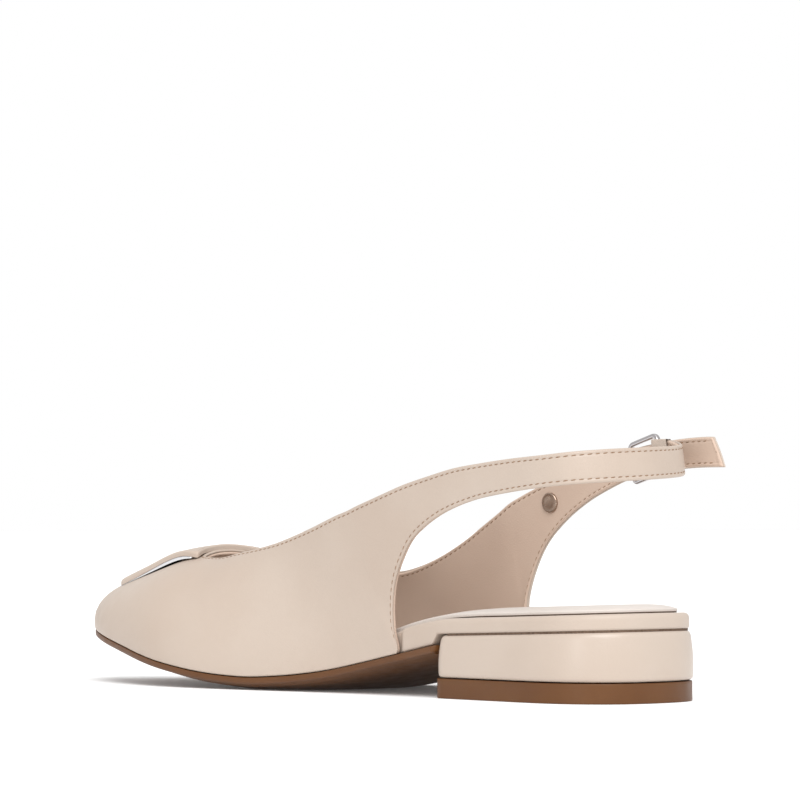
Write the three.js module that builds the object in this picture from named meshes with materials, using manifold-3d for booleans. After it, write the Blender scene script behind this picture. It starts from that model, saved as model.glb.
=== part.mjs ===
// A woman's right slingback flat with a low covered block heel, in millimetres.
// X runs from heel to toe, Y to the shoe's left (the inner side of a right foot), Z up.
// The pieces are worked out with X measured from the back of the heel and Z from the floor.
import * as THREE from 'three';
import { mergeVertices } from 'three/addons/utils/BufferGeometryUtils.js';
import Module from 'manifold-3d';

const wasm = await Module();
wasm.setup();

// Driving sizes
const shoeLength = 252;
const heelWidth = 55.2;
const ballWidth = 76.6;
const heelRound = 31.7; // how far forward the rounded back of the heel reaches
const toeRound = 30; // how far back the rounded tip of the toe reaches
const gap = 0.3; // between pieces that touch in the real shoe

const topliftThick = 6;
const heelBlockRise = 12.6; // covered block at its front, over the toplift
const heelBlockSlope = 2.4; // the block is this much taller at its back
const heelLength = 69.8; // back of the heel to the front of the toplift
const heelCorner = 4; // rounded upright corners at the front of the block
const heelFlare = 0.9; // the block is this much wider at its bottom

const treadHeight = 4; // top edge of the outsole over the floor at the ball
const waistRise = 13.2; // how much higher that edge is at the heel
const toeSpring = 13.5; // how much higher that edge is at the tip of the toe
const archTilt = 0.8; // how much higher that edge is on the inner side of the ball
const outsoleWall = 2.1;
const outsoleBelly = 2.3; // how much lower the outsole's middle is than its edge
const outsoleBevel = 0.5;

const rimOverHeel = 4.85; // covered edge of the footbed above the heel block
const footbedThick = 3.6; // footbed inside the forepart
const rimInset = 0.9;
const rimEdge = 1.5; // rounding of the footbed's covered edge
const sockInset = 4.4;
const sockThick = 1.1;
const sockPad = 1.4; // extra padding under the heel

const upperWall = 1.8;
const feather = 0.2; // the upper stands this far inside the outsole's edge
const slingHeight = 75.4; // upper edge of the sling at the back of the heel
const handleLength = 7.5; // height of the wall above the sole at the toe before it bends over

const plateWidth = 35;
const plateFront = 0.936; // share of the shoe's length
const plateRear = 0.786;
const plateRearBow = 7.4; // how far its rear corners lie behind the middle of that end
const plateFrontBow = 3;
const plateThick = 1.6;
const plateMetalThin = 0.4; // at the front and the rear of the metal plate
const plateMetalSwell = 1.2; // how much thicker it is where the ornament arches up

const buckleLength = 15.6;
const buckleHeight = 13.2;
const buckleBar = 1.5;
const buckleThick = 1.6;
const buckleCorner = 2.6;
const prongThick = 1.2;
const loopWall = 1;

const rivetHead = 6.3;
const rivetShank = 2.6;
const rivetHeadThick = 1.1;

// Tables become lists of rows with named columns
function table(columns, rows) {
  return rows.map((row) => Object.fromEntries(columns.map((name, i) => [name, row[i]])));
}

// A smooth curve through a table's rows: cubic pieces whose slopes come from the rows beside them
function curveAt(rows, column, at) {
  const last = rows.length - 1;
  let i = 0;
  while (i < last - 1 && at > rows[i + 1].along) i += 1;
  const slope = (k) => {
    const low = rows[Math.max(k - 1, 0)];
    const high = rows[Math.min(k + 1, last)];
    return (high[column] - low[column]) / (high.along - low.along);
  };
  const span = rows[i + 1].along - rows[i].along;
  const t = THREE.MathUtils.clamp((at - rows[i].along) / span, 0, 1);
  const start = rows[i][column];
  const end = rows[i + 1][column];
  const bend = (2 * t ** 3 - 3 * t ** 2 + 1) * start + (3 * t ** 2 - 2 * t ** 3) * end;
  const lean = (t ** 3 - 2 * t ** 2 + t) * slope(i) + (t ** 3 - t ** 2) * slope(i + 1);
  return bend + span * lean;
}

const { lerp, smoothstep, clamp } = THREE.MathUtils;

// Outline of the sole: middle line as a share of the ball width, half width as shares
// of the heel's and of the ball's half width
const footprint = table(['along', 'middle', 'ofHeel', 'ofBall'], [
  [0, 0, 1, 0],
  [0.12, 0, 1, 0],
  [0.26, -0.007, 0.99, 0.007],
  [0.35, -0.025, 0.75, 0.196],
  [0.45, -0.035, 0.45, 0.464],
  [0.55, -0.033, 0.18, 0.758],
  [0.64, -0.023, 0, 0.971],
  [0.7, -0.016, 0, 1],
  [0.77, 0.001, 0, 0.953],
  [0.84, 0.021, 0, 0.815],
  [0.91, 0.05, 0, 0.625],
  [1, 0.085, 0, 0.392],
]);

function rounded(reach, power) {
  return (1 - clamp(reach, 0, 1) ** power) ** (1 / power);
}

function middle(x) {
  return curveAt(footprint, 'middle', x / shoeLength) * ballWidth;
}

function halfWidth(x) {
  const at = x / shoeLength;
  const body = curveAt(footprint, 'ofHeel', at) * heelWidth + curveAt(footprint, 'ofBall', at) * ballWidth;
  const back = rounded((heelRound - x) / heelRound, 2.5);
  const front = rounded((x - shoeLength + toeRound) / toeRound, 2.2);
  return (body / 2) * back * front;
}

// Height of the outsole's top edge: shares of the rise to the heel and of the toe spring
const soleLine = table(['along', 'ofWaist', 'ofToe', 'tilt', 'belly'], [
  [0.26, 0.955, 0, 0, 0.6],
  [0.303, 0.8, 0, 0, 0.6],
  [0.356, 0.61, 0, 0, 0.65],
  [0.41, 0.41, 0, 0.3, 0.75],
  [0.46, 0.235, 0, 0.7, 0.9],
  [0.508, 0.11, 0, 1, 1],
  [0.556, 0.03, 0, 1, 1],
  [0.596, 0, 0, 1, 1],
  [0.636, 0, 0.03, 1, 1],
  [0.671, 0, 0.085, 0.8, 0.95],
  [0.707, 0, 0.17, 0.6, 0.7],
  [0.75, 0, 0.29, 0.4, 0.42],
  [0.8, 0, 0.455, 0.2, 0.22],
  [0.85, 0, 0.63, 0, 0.12],
  [0.91, 0, 0.82, 0, 0.1],
  [0.95, 0, 0.92, 0, 0.1],
  [1, 0, 1, 0, 0.1],
]);

function soleTop(x, y) {
  const at = x / shoeLength;
  const side = clamp((y - middle(x)) / (ballWidth / 2), -1, 1);
  const lean = archTilt * curveAt(soleLine, 'tilt', at) * (side - 1) / 2;
  const rise = curveAt(soleLine, 'ofWaist', at) * waistRise + curveAt(soleLine, 'ofToe', at) * toeSpring;
  return treadHeight + rise + lean;
}

function blockTop(x) {
  return topliftThick + gap + heelBlockRise + heelBlockSlope * (1 - x / heelLength);
}

// The nearest point of a line down the middle of the shoe, from heel to toe
function spine(x, margin = 0) {
  const at = clamp(x, heelRound - margin, shoeLength - toeRound + margin);
  return new THREE.Vector2(at, middle(at));
}

function outward(x, y) {
  return new THREE.Vector2(x, y).sub(spine(x)).normalize();
}

// Closed solid from points and triangles: equal points are joined, flat triangles dropped
function solid(points, triangles) {
  const geometry = new THREE.BufferGeometry();
  const flat = points.flatMap((p) => [p.x, p.y, p.z]);
  geometry.setAttribute('position', new THREE.Float32BufferAttribute(flat, 3));
  geometry.setIndex(triangles.flat());
  const merged = mergeVertices(geometry, 1e-3);
  const index = merged.index.array;
  const kept = [];
  for (let i = 0; i < index.length; i += 3) {
    const [a, b, c] = index.subarray(i, i + 3);
    if (a !== b && b !== c && a !== c) kept.push(a, b, c);
  }
  merged.setIndex(kept);
  return merged;
}

// Triangles of a grid of rows and columns, whose points follow each other row by row
function gridFaces(rows, columns, offset, flip, closedRound) {
  const faces = [];
  const steps = closedRound ? columns : columns - 1;
  for (let i = 0; i < rows - 1; i += 1) {
    for (let j = 0; j < steps; j += 1) {
      const a = offset + i * columns + j;
      const b = offset + i * columns + ((j + 1) % columns);
      const c = b + columns;
      const d = a + columns;
      faces.push(flip ? [a, c, b] : [a, b, c], flip ? [a, d, c] : [a, c, d]);
    }
  }
  return faces;
}

// A flat piece with a rounded edge: rings round the outline, from the middle of the
// underside, over the edge, to the middle of the top. Each profile row says how far
// the ring reaches from the spine, its inset in millimetres and its level, 0 to 1.
function slab(outline, profile, heightAt, margin) {
  const count = outline.length;
  const points = profile.flatMap((row) => outline.map((p, i) => {
    const before = outline[(i + count - 1) % count];
    const after = outline[(i + 1) % count];
    const normal = new THREE.Vector2(after.y - before.y, before.x - after.x).normalize();
    const edge = new THREE.Vector2(p.x, p.y).addScaledVector(normal, -row.inset - (p.inset ?? 0));
    const place = spine(p.x, margin ?? 0).lerp(edge, row.reach);
    return new THREE.Vector3(place.x, place.y, heightAt(place.x, place.y, row.level, row.reach));
  }));
  return solid(points, gridFaces(profile.length, count, 0, false, true));
}

// Distances along the shoe that lie closer together where an outline turns round an end
function stations(start, end, count, extra = []) {
  const list = Array.from({ length: count }, (_, i) => {
    const turn = (i / (count - 1)) * Math.PI;
    return start + (end - start) * (1 - Math.cos(turn)) / 2;
  });
  const inOrder = [...list, ...extra].sort((a, b) => a - b);
  return inOrder.filter((x, i) => i === 0 || x - inOrder[i - 1] > 0.3 || x === end);
}

// The outline over given stations, counter-clockwise from above, with any straight back edge
function outlineOver(xs, inset = () => 0) {
  const side = (sign) => xs.map((x) => ({ x, y: middle(x) + sign * halfWidth(x), inset: inset(x) }));
  const right = side(-1);
  const left = side(1).reverse();
  const near = (a, b) => Math.hypot(a.x - b.x, a.y - b.y) < 0.05;
  return [...right, ...left].filter((p, i, all) => !near(p, all[(i + 1) % all.length]));
}

// Outline of the heel: the back of the footprint, cut straight across at its front
// with rounded corners
function heelOutline(front) {
  const back = outlineOver(stations(0, 2 * (front - heelCorner), 34).filter((x) => x <= front - heelCorner));
  const half = halfWidth(front - heelCorner) - heelCorner;
  const corner = (sign) => Array.from({ length: 5 }, (_, i) => {
    const turn = ((i + 0.5) / 5) * (Math.PI / 2);
    return {
      x: front - heelCorner + heelCorner * Math.sin(turn),
      y: middle(front) + sign * (half + heelCorner * Math.cos(turn)),
    };
  });
  const cut = back.findIndex((p, i) => i > 0 && p.y > 0 && back[i - 1].y < 0 && p.x > front / 2);
  return [...back.slice(0, cut), ...corner(-1), ...corner(1).reverse(), ...back.slice(cut)];
}

const flatProfile = (edge) => table(['reach', 'inset', 'level'], [
  [0, edge, 0],
  [0.55, edge, 0],
  [1, edge, 0],
  [1, edge * 0.3, 0.04],
  [1, 0, 0.12],
  [1, 0, 0.5],
  [1, 0, 0.88],
  [1, edge * 0.3, 0.96],
  [1, edge, 1],
  [0.55, edge, 1],
  [0, edge, 1],
]);

function toplift() {
  const height = (x, y, level) => level * topliftThick;
  return slab(heelOutline(heelLength), flatProfile(0.4), height, -4);
}

const heelFront = heelLength - 1;

function heelBlock() {
  const bottom = topliftThick + gap;
  const height = (x, y, level) => lerp(bottom, blockTop(x), level);
  const profile = flatProfile(1).map((row) => ({
    ...row,
    inset: row.inset + heelFlare * row.level ** 2 - 0.25 * Math.sin(row.level * Math.PI) - 0.2,
  }));
  return slab(heelOutline(heelFront), profile, height, -4);
}

function outsole() {
  const start = heelFront + gap + 0.2;
  const xs = stations(2 * start - shoeLength, shoeLength, 68).filter((x) => x > start + 0.6);
  const back = (sign) => [0.2, 0.6, 0.96].map((share) => ({
    x: start, y: middle(start) + sign * share * halfWidth(start),
  }));
  const sides = outlineOver(xs);
  const outline = [...back(-1), ...sides, ...back(1).reverse()];
  const profile = table(['reach', 'inset', 'level'], [
    [0, 1, 0],
    [0.45, 1, 0],
    [0.75, 1, 0],
    [1, 0.8, 0],
    [1, 0, 0.3],
    [1, 0, 1],
    [0.6, 0, 1],
    [0, 0, 1],
  ]);
  const height = (x, y, level, reach) => {
    const top = soleTop(x, y);
    const edge = top - outsoleWall;
    const fullness = curveAt(soleLine, 'belly', x / shoeLength);
    const belly = outsoleBelly * (1 - reach ** 3) + (level < 0.1 ? outsoleBevel : 0);
    const underside = Math.max(edge - fullness * belly, 0);
    return lerp(underside, top, level < 0.1 ? 0 : level);
  };
  return slab(outline, profile, height, 30);
}

// Height of the footbed's top: shares of the heel seat's height over the outsole
const footbedLine = table(['along', 'over'], [
  [0, 1],
  [0.08, 0.97],
  [0.16, 0.942],
  [0.22, 0.922],
  [0.27, 0.894],
  [0.33, 0.796],
  [0.4, 0.612],
  [0.47, 0.41],
  [0.54, 0.245],
  [0.61, 0.176],
]);

function footbedTop(x, y) {
  const seat = blockTop(0) + gap + rimOverHeel;
  const rise = curveAt(footbedLine, 'over', Math.min(x / shoeLength, 0.61)) * seat;
  const board = soleTop(x, y) + gap + footbedThick;
  return lerp(rise, board, smoothstep(x / shoeLength, 0.36, 0.6));
}

function footbedBottom(x, y) {
  const step = smoothstep(x, heelFront - 0.5, heelFront + 2.5);
  return lerp(blockTop(x), soleTop(Math.max(x, heelFront), y), step) + gap;
}

const quarterBack = 0.345; // share of the length where the quarters leave the sole
const wallInset = feather + upperWall + gap + 0.25;

function footbed() {
  const corner = quarterBack * shoeLength;
  const step = [-1, 0, 1.5, 3].map((x) => heelFront + x);
  const extra = [...step, ...[-2.2, 0, 2.5, 5].map((x) => corner + x)];
  const xs = stations(0, shoeLength - wallInset, 36, extra);
  const insetAt = (x) => lerp(rimInset, wallInset, smoothstep(x, corner - 2.5, corner - 0.2));
  const outline = outlineOver(xs, insetAt);
  const profile = table(['reach', 'inset', 'level'], [
    [0, 1, 0],
    [0.6, 1, 0],
    [1, 0.8, 0],
    [1, 0.1, 0.1],
    [1, 0, 0.35],
    [1, 0, 0.72],
    [1, rimEdge * 0.3, 0.92],
    [1, rimEdge, 1],
    [0.6, rimEdge, 1],
    [0, rimEdge, 1],
  ]);
  const height = (x, y, level) => lerp(footbedBottom(x, y), footbedTop(x, y), level);
  return slab(outline, profile, height, 12);
}

function sock() {
  const end = shoeLength - 1;
  const outline = outlineOver(stations(0, end, 32), () => sockInset);
  const profile = table(['reach', 'inset', 'level'], [
    [0, 0.6, 0],
    [0.6, 0.6, 0],
    [1, 0.3, 0],
    [1, 0, 0.25],
    [1, 0.4, 0.6],
    [0.9, 0.4, 0.9],
    [0.7, 0.4, 1],
    [0.35, 0.4, 1],
    [0, 0.4, 1],
  ]);
  const height = (x, y, level, reach) => {
    const pad = sockPad * (1 - smoothstep(x, 0.2 * shoeLength, 0.36 * shoeLength)) * (1 - reach ** 2);
    return footbedTop(x, y) + gap + level * (sockThick + pad);
  };
  return slab(outline, profile, height, 12);
}

// The upper is one strip of leather wrapped round the foot. It starts as the sling at the
// buckle, runs round the back of the heel and along the inner side, round the toe, and
// back along the outer side to the strap's free end. Each row is one line across the strip:
// where its lower and its upper edge lie, along as shares of the shoe's length, across as
// shares of the ball width and high as shares of the sling's height. A lower edge that
// stands on the sole has only its side, inner or outer.
const inner = 1;
const outer = -1;
const onSole = null;
const strip = table(['lowAlong', 'lowAcross', 'lowHigh', 'along', 'across', 'high'], [
  [0.118, -0.364, 0.919, 0.115, -0.364, 1.037],
  [0.085, -0.347, 0.908, 0.084, -0.347, 1.028],
  [0.053, -0.296, 0.89, 0.057, -0.294, 1.012],
  [0.03, -0.186, 0.878, 0.037, -0.184, 1.001],
  [0.019, 0, 0.867, 0.026, 0, 0.993],
  [0.029, 0.186, 0.857, 0.035, 0.184, 0.984],
  [0.054, 0.3, 0.848, 0.057, 0.298, 0.974],
  [0.095, 0.345, 0.835, 0.091, 0.342, 0.962],
  [0.151, 0.355, 0.814, 0.143, 0.35, 0.949],
  [0.198, 0.355, 0.79, 0.19, 0.35, 0.934],
  [0.242, 0.354, 0.752, 0.238, 0.349, 0.915],
  [0.278, 0.352, 0.703, 0.286, 0.346, 0.883],
  [0.31, 0.349, 0.635, 0.329, 0.342, 0.851],
  [0.33, 0.345, 0.552, 0.365, 0.338, 0.817],
  [0.344, 0.34, 0.462, 0.393, 0.334, 0.79],
  [0.35, 0.335, 0.365, 0.417, 0.33, 0.767],
  [0.35, 0.3305, 0.27, 0.437, 0.326, 0.746],
  [0.345, inner, onSole, 0.456, 0.321, 0.73],
  [0.382, inner, onSole, 0.478, 0.316, 0.708],
  [0.435, inner, onSole, 0.508, 0.305, 0.678],
  [0.492, inner, onSole, 0.544, 0.294, 0.645],
  [0.552, inner, onSole, 0.583, 0.281, 0.612],
  [0.611, inner, onSole, 0.623, 0.266, 0.586],
  [0.667, inner, onSole, 0.665, 0.252, 0.562],
  [0.722, inner, onSole, 0.706, 0.232, 0.54],
  [0.778, inner, onSole, 0.742, 0.209, 0.539],
  [0.829, inner, onSole, 0.765, 0.172, 0.545],
  [0.877, inner, onSole, 0.776, 0.123, 0.556],
  [0.921, inner, onSole, 0.78, 0.076, 0.566],
  [0.96, inner, onSole, 0.782, 0.037, 0.571],
  [0.988, inner, onSole, 0.782, 0.003, 0.573],
  [1, inner, onSole, 0.782, -0.031, 0.573],
  [0.986, outer, onSole, 0.78, -0.068, 0.57],
  [0.952, outer, onSole, 0.777, -0.112, 0.562],
  [0.909, outer, onSole, 0.767, -0.162, 0.549],
  [0.857, outer, onSole, 0.748, -0.219, 0.529],
  [0.802, outer, onSole, 0.72, -0.269, 0.505],
  [0.746, outer, onSole, 0.685, -0.309, 0.493],
  [0.69, outer, onSole, 0.645, -0.337, 0.485],
  [0.635, outer, onSole, 0.605, -0.355, 0.482],
  [0.579, outer, onSole, 0.567, -0.366, 0.487],
  [0.524, outer, onSole, 0.53, -0.371, 0.516],
  [0.468, outer, onSole, 0.492, -0.373, 0.562],
  [0.417, outer, onSole, 0.452, -0.375, 0.624],
  [0.377, outer, onSole, 0.417, -0.375, 0.69],
  [0.342, outer, onSole, 0.389, -0.373, 0.742],
  [0.343, -0.379, 0.272, 0.369, -0.372, 0.782],
  [0.341, -0.381, 0.385, 0.347, -0.372, 0.813],
  [0.327, -0.383, 0.511, 0.325, -0.372, 0.841],
  [0.306, -0.384, 0.617, 0.302, -0.373, 0.867],
  [0.274, -0.385, 0.71, 0.272, -0.376, 0.895],
  [0.236, -0.384, 0.785, 0.23, -0.377, 0.925],
  [0.197, -0.377, 0.838, 0.188, -0.373, 0.965],
  [0.164, -0.367, 0.872, 0.155, -0.367, 0.996],
  [0.137, -0.393, 0.893, 0.13, -0.393, 1.016],
  [0.11, -0.416, 0.907, 0.106, -0.416, 1.03],
  [0.083, -0.42, 0.916, 0.08, -0.42, 1.038],
  [0.053, -0.42, 0.92, 0.051, -0.42, 1.042],
  [0.019, -0.42, 0.92, 0.037, -0.42, 1.041],
]);

// How the wall bends from the sole to its upper edge: height of the upright part and how
// far it leans out, how far and how steeply the top runs out from its edge, and how
// straight the wall is, by the place along the sole
const crown = table(['along', 'upright', 'lean', 'run', 'fall', 'straight'], [
  [0.3, 1.8, 1, 1, 10, 1],
  [0.45, 1.8, 1.5, 3, 9, 0.85],
  [0.55, 1.75, 2, 6, 6, 0.5],
  [0.65, 1.65, 2, 9, 4, 0.2],
  [0.75, 1.6, 2, 12, 3, 0],
  [0.85, 1.94, 1.9, 17.8, 4, 0],
  [0.95, 2.1, 3.6, 16.6, 6.4, 0],
  [1, 2.3, 5, 15.5, 8, 0],
]);

// Lower edge on the sole at a place along it, on the middle of the wall's thickness
function onOutsole(x, side) {
  const inset = feather + upperWall / 2;
  const reach = Math.max(halfWidth(x), 1e-4);
  const slide = clamp((x - shoeLength + toeRound) / toeRound, 0, 1);
  const at = x - inset * slide ** 6;
  const y = middle(x) + side * Math.max(reach - inset * (1 - slide ** 6), 0);
  return new THREE.Vector3(at, y, soleTop(at, y) + gap);
}

function lowerPoint(row) {
  const x = row.lowAlong * shoeLength;
  if (row.lowHigh === onSole) return onOutsole(x, row.lowAcross);
  return new THREE.Vector3(x, row.lowAcross * ballWidth, row.lowHigh * slingHeight);
}

function upperPoint(row) {
  return new THREE.Vector3(row.along * shoeLength, row.across * ballWidth, row.high * slingHeight);
}

const lowEdge = strip.map(lowerPoint);
const topEdge = strip.map(upperPoint);
const lowShares = strip.map((row) => new THREE.Vector3(row.lowAlong, 0, 0));

function through(points, at) {
  const i = Math.min(Math.floor(at), points.length - 2);
  const pick = (k) => points[clamp(k, 0, points.length - 1)];
  const [a, b, c, d] = [pick(i - 1), pick(i), pick(i + 1), pick(i + 2)];
  const t = at - i;
  const blend = (p, q, r, s) => {
    const bend = 2 * p - 5 * q + 4 * r - s;
    const twist = 3 * q - p - 3 * r + s;
    return 0.5 * (2 * q + (r - p) * t + bend * t * t + twist * t ** 3);
  };
  return new THREE.Vector3(
    blend(a.x, b.x, c.x, d.x),
    blend(a.y, b.y, c.y, d.y),
    blend(a.z, b.z, c.z, d.z),
  );
}

// Lower edge at a place along the strip, kept exactly on the sole between its quarters
function lowerAt(at) {
  const i = Math.min(Math.floor(at), strip.length - 2);
  const free = through(lowEdge, at);
  const stands = strip[i].lowHigh === onSole && strip[i + 1].lowHigh === onSole;
  if (!stands) {
    free.z = Math.max(free.z, soleTop(free.x, free.y) + gap);
    return free;
  }
  const x = Math.min(through(lowShares, at).x, 1);
  return onOutsole(x * shoeLength, free.y > middle(free.x) ? inner : outer);
}

// A point on the middle of the wall: a curve with two handles from lower to upper edge
function wallPoint(at, share) {
  const low = lowerAt(at);
  const top = through(topEdge, at);
  const place = clamp(low.x / shoeLength, 0.3, 1);
  const bend = (name) => curveAt(crown, name, place);
  const i = Math.min(Math.floor(at), strip.length - 2);
  const onFoot = (k) => (strip[k].lowHigh === onSole ? 0 : 1);
  const straight = Math.max(bend('straight'), lerp(onFoot(i), onFoot(i + 1), at - i));
  const out = outward(low.x, low.y);
  const run = new THREE.Vector2(low.x - top.x, low.y - top.y).normalize();
  const third = top.clone().sub(low).divideScalar(3);
  const bulge = 0.03 * top.distanceTo(low);
  const upright = bend('upright') * handleLength;
  const rise = new THREE.Vector3(out.x * bend('lean'), out.y * bend('lean'), upright);
  const turn = new THREE.Vector3(run.x * bend('run'), run.y * bend('run'), -bend('fall'));
  const lower = low.clone().add(rise.lerp(third, straight));
  const upper = top.clone().add(turn.lerp(third.clone().negate(), straight));
  lower.x += out.x * bulge * straight;
  lower.y += out.y * bulge * straight;
  upper.x += out.x * bulge * straight;
  upper.y += out.y * bulge * straight;
  return new THREE.CubicBezierCurve3(low, lower, upper, top).getPoint(share);
}

// Direction square to the wall, away from the foot
function wallNormal(at, share) {
  const small = 0.02;
  const next = wallPoint(Math.min(at + small, strip.length - 1), share);
  const last = wallPoint(Math.max(at - small, 0), share);
  const over = wallPoint(at, Math.min(share + small, 1));
  const under = wallPoint(at, Math.max(share - small, 0));
  return new THREE.Vector3().crossVectors(over.sub(under), next.sub(last)).normalize();
}

// Thickness of the wall: the sling's end is folded into a thicker loop round the buckle's bar
const loopThick = buckleThick + 2 * gap + 2 * loopWall;

function wallThick(at) {
  return lerp(loopThick, upperWall, smoothstep(at, 0.28, 0.5));
}

const stripSteps = [0.12, 0.26, 0.38];
for (let at = 0; at <= strip.length - 1; at += 0.5) stripSteps.push(at);
stripSteps.sort((a, b) => a - b);
const wallShares = [0, 0.1, 0.24, 0.4, 0.56, 0.72, 0.87, 1];

// One face of the wall, off the middle by a share of the thickness on that side
function wallFace(side) {
  const thick = (at) => (side * wallThick(at)) / 2;
  return stripSteps.map((at) => wallShares.map((share) => (
    wallPoint(at, share).addScaledVector(wallNormal(at, share), thick(at))
  )));
}

const upperOuter = wallFace(1);
const upperInner = wallFace(-1);

// Closed shell between two faces with the same rows and columns
function shell(front, back) {
  const rows = front.length;
  const columns = front[0].length;
  const points = [...front.flat(), ...back.flat()];
  const other = rows * columns;
  const faces = [
    ...gridFaces(rows, columns, 0, false, false),
    ...gridFaces(rows, columns, other, true, false),
  ];
  const rim = [];
  for (let j = 0; j < columns; j += 1) rim.push(j);
  for (let i = 1; i < rows; i += 1) rim.push(i * columns + columns - 1);
  for (let j = columns - 2; j >= 0; j -= 1) rim.push((rows - 1) * columns + j);
  for (let i = rows - 2; i > 0; i -= 1) rim.push(i * columns);
  rim.forEach((a, k) => {
    const b = rim[(k + 1) % rim.length];
    faces.push([a, b + other, b], [a, a + other, b + other]);
  });
  return solid(points, faces);
}

// Booleans
function toManifold(geometry) {
  return new wasm.Manifold(new wasm.Mesh({
    numProp: 3,
    vertProperties: new Float32Array(geometry.attributes.position.array),
    triVerts: new Uint32Array(geometry.index.array),
  }));
}

function fromManifold(body) {
  const mesh = body.getMesh();
  const geometry = new THREE.BufferGeometry();
  geometry.setAttribute('position', new THREE.BufferAttribute(mesh.vertProperties, 3));
  geometry.setIndex(new THREE.BufferAttribute(mesh.triVerts, 1));
  return geometry;
}

function bare(geometry) {
  geometry.deleteAttribute('normal');
  geometry.deleteAttribute('uv');
  return mergeVertices(geometry, 1e-4);
}

// The buckle's own frame: X forward along the strap, Y towards the foot, Z up
const buckleAt = new THREE.Vector3(0.137 * shoeLength, -0.382 * ballWidth, 0.956 * slingHeight);
const bucklePitch = THREE.MathUtils.degToRad(13);
const buckleYaw = THREE.MathUtils.degToRad(-10);

function buckleFrame() {
  const frame = new THREE.Group();
  frame.position.copy(buckleAt);
  frame.rotation.set(0, bucklePitch, buckleYaw, 'ZYX');
  frame.updateMatrix();
  return frame;
}

const rearBar = -(buckleLength - buckleBar) / 2;
const frontBar = -rearBar;

function boxAt(length, depth, height, x, y, z) {
  return bare(new THREE.BoxGeometry(length, depth, height)).translate(x, y, z);
}

// The rivet goes square through the outer quarter: its row along the strip and its share
// of the way up the wall
const rivetRow = 49.2;
const rivetUp = 0.62;

function rivetFrame() {
  const frame = new THREE.Group();
  frame.position.copy(wallPoint(rivetRow, rivetUp));
  const inwards = wallNormal(rivetRow, rivetUp).negate();
  frame.quaternion.setFromUnitVectors(new THREE.Vector3(0, 1, 0), inwards);
  frame.updateMatrix();
  return frame;
}

function upper() {
  const clear = gap + 0.05;
  const bore = boxAt(buckleBar + 2 * clear, buckleThick + 2 * clear, buckleHeight, rearBar, 0, 0);
  const notchEnd = rearBar - buckleBar / 2 - gap - loopWall;
  const notch = boxAt(8, 2 * loopThick, 2 * (prongThick + gap), notchEnd + 4, loopThick * 0.4, 0);
  const slot = boxAt(8.6, 6, prongThick + 2 * gap, 0, -0.6, 0);
  const cutters = [bore, notch, slot].map((cutter) => cutter.applyMatrix4(buckleFrame().matrix));
  const hole = bare(new THREE.CylinderGeometry(rivetShank / 2 + gap, rivetShank / 2 + gap, 12, 16));
  cutters.push(hole.applyMatrix4(rivetFrame().matrix));
  let body = toManifold(shell(upperOuter, upperInner));
  for (const cutter of cutters) body = body.subtract(toManifold(cutter));
  return fromManifold(body);
}

function buckle() {
  const outline = (length, height, corner) => {
    const shape = new THREE.Shape();
    const [x, z] = [length / 2, height / 2];
    shape.moveTo(corner - x, -z);
    shape.lineTo(x - corner, -z);
    shape.absarc(x - corner, corner - z, corner, -Math.PI / 2, 0);
    shape.absarc(x - corner, z - corner, corner, 0, Math.PI / 2);
    shape.absarc(corner - x, z - corner, corner, Math.PI / 2, Math.PI);
    shape.absarc(corner - x, corner - z, corner, Math.PI, 1.5 * Math.PI);
    return shape;
  };
  const ring = outline(buckleLength, buckleHeight, buckleCorner);
  const inside = outline(buckleLength - 2 * buckleBar, buckleHeight - 2 * buckleBar, buckleCorner - buckleBar);
  ring.holes.push(inside);
  const bevel = 0.35;
  const geometry = new THREE.ExtrudeGeometry(ring, {
    depth: buckleThick - 2 * bevel,
    bevelSize: bevel,
    bevelThickness: bevel,
    bevelOffset: -bevel,
    bevelSegments: 1,
    curveSegments: 3,
  });
  geometry.translate(0, 0, bevel - buckleThick / 2).rotateX(Math.PI / 2);
  return bare(geometry);
}

// The prong: an eye round the buckle's rear bar and a pin whose tip rests on the front bar
function prong() {
  const clear = 0.25;
  const eyeLength = buckleBar + 2 * clear + 1.4;
  const eyeDepth = buckleThick + 2 * clear + 1.2;
  const eye = boxAt(eyeLength, eyeDepth, prongThick * 1.5, rearBar, 0, 0);
  const bore = boxAt(buckleBar + 2 * clear, buckleThick + 2 * clear, 8, rearBar, 0, 0);
  const start = new THREE.Vector3(rearBar + eyeLength / 2 - 0.3, 0, 0);
  const tip = new THREE.Vector3(frontBar + buckleBar / 2 + 0.4, -(buckleThick + prongThick) / 2 - gap, 0);
  const pin = bare(new THREE.CylinderGeometry(prongThick / 2, prongThick / 2, start.distanceTo(tip), 10));
  const along = tip.clone().sub(start).normalize();
  const turn = new THREE.Quaternion().setFromUnitVectors(new THREE.Vector3(0, 1, 0), along);
  const middlePoint = start.clone().lerp(tip, 0.5);
  pin.applyQuaternion(turn).translate(middlePoint.x, middlePoint.y, middlePoint.z);
  return fromManifold(toManifold(eye).subtract(toManifold(bore)).add(toManifold(pin)));
}

function rivet() {
  const half = upperWall / 2 + gap;
  const profile = [
    [0, -half - rivetHeadThick * 0.7],
    [rivetHead * 0.32, -half - rivetHeadThick * 0.62],
    [rivetHead * 0.42, -half - rivetHeadThick * 0.3],
    [rivetHead * 0.42, -half],
    [rivetShank / 2, -half],
    [rivetShank / 2, half],
    [rivetHead / 2, half],
    [rivetHead / 2, half + rivetHeadThick * 0.55],
    [rivetHead * 0.42, half + rivetHeadThick * 0.9],
    [0, half + rivetHeadThick],
  ].map(([x, y]) => new THREE.Vector2(x, y));
  return bare(new THREE.LatheGeometry(profile, 20));
}

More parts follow.
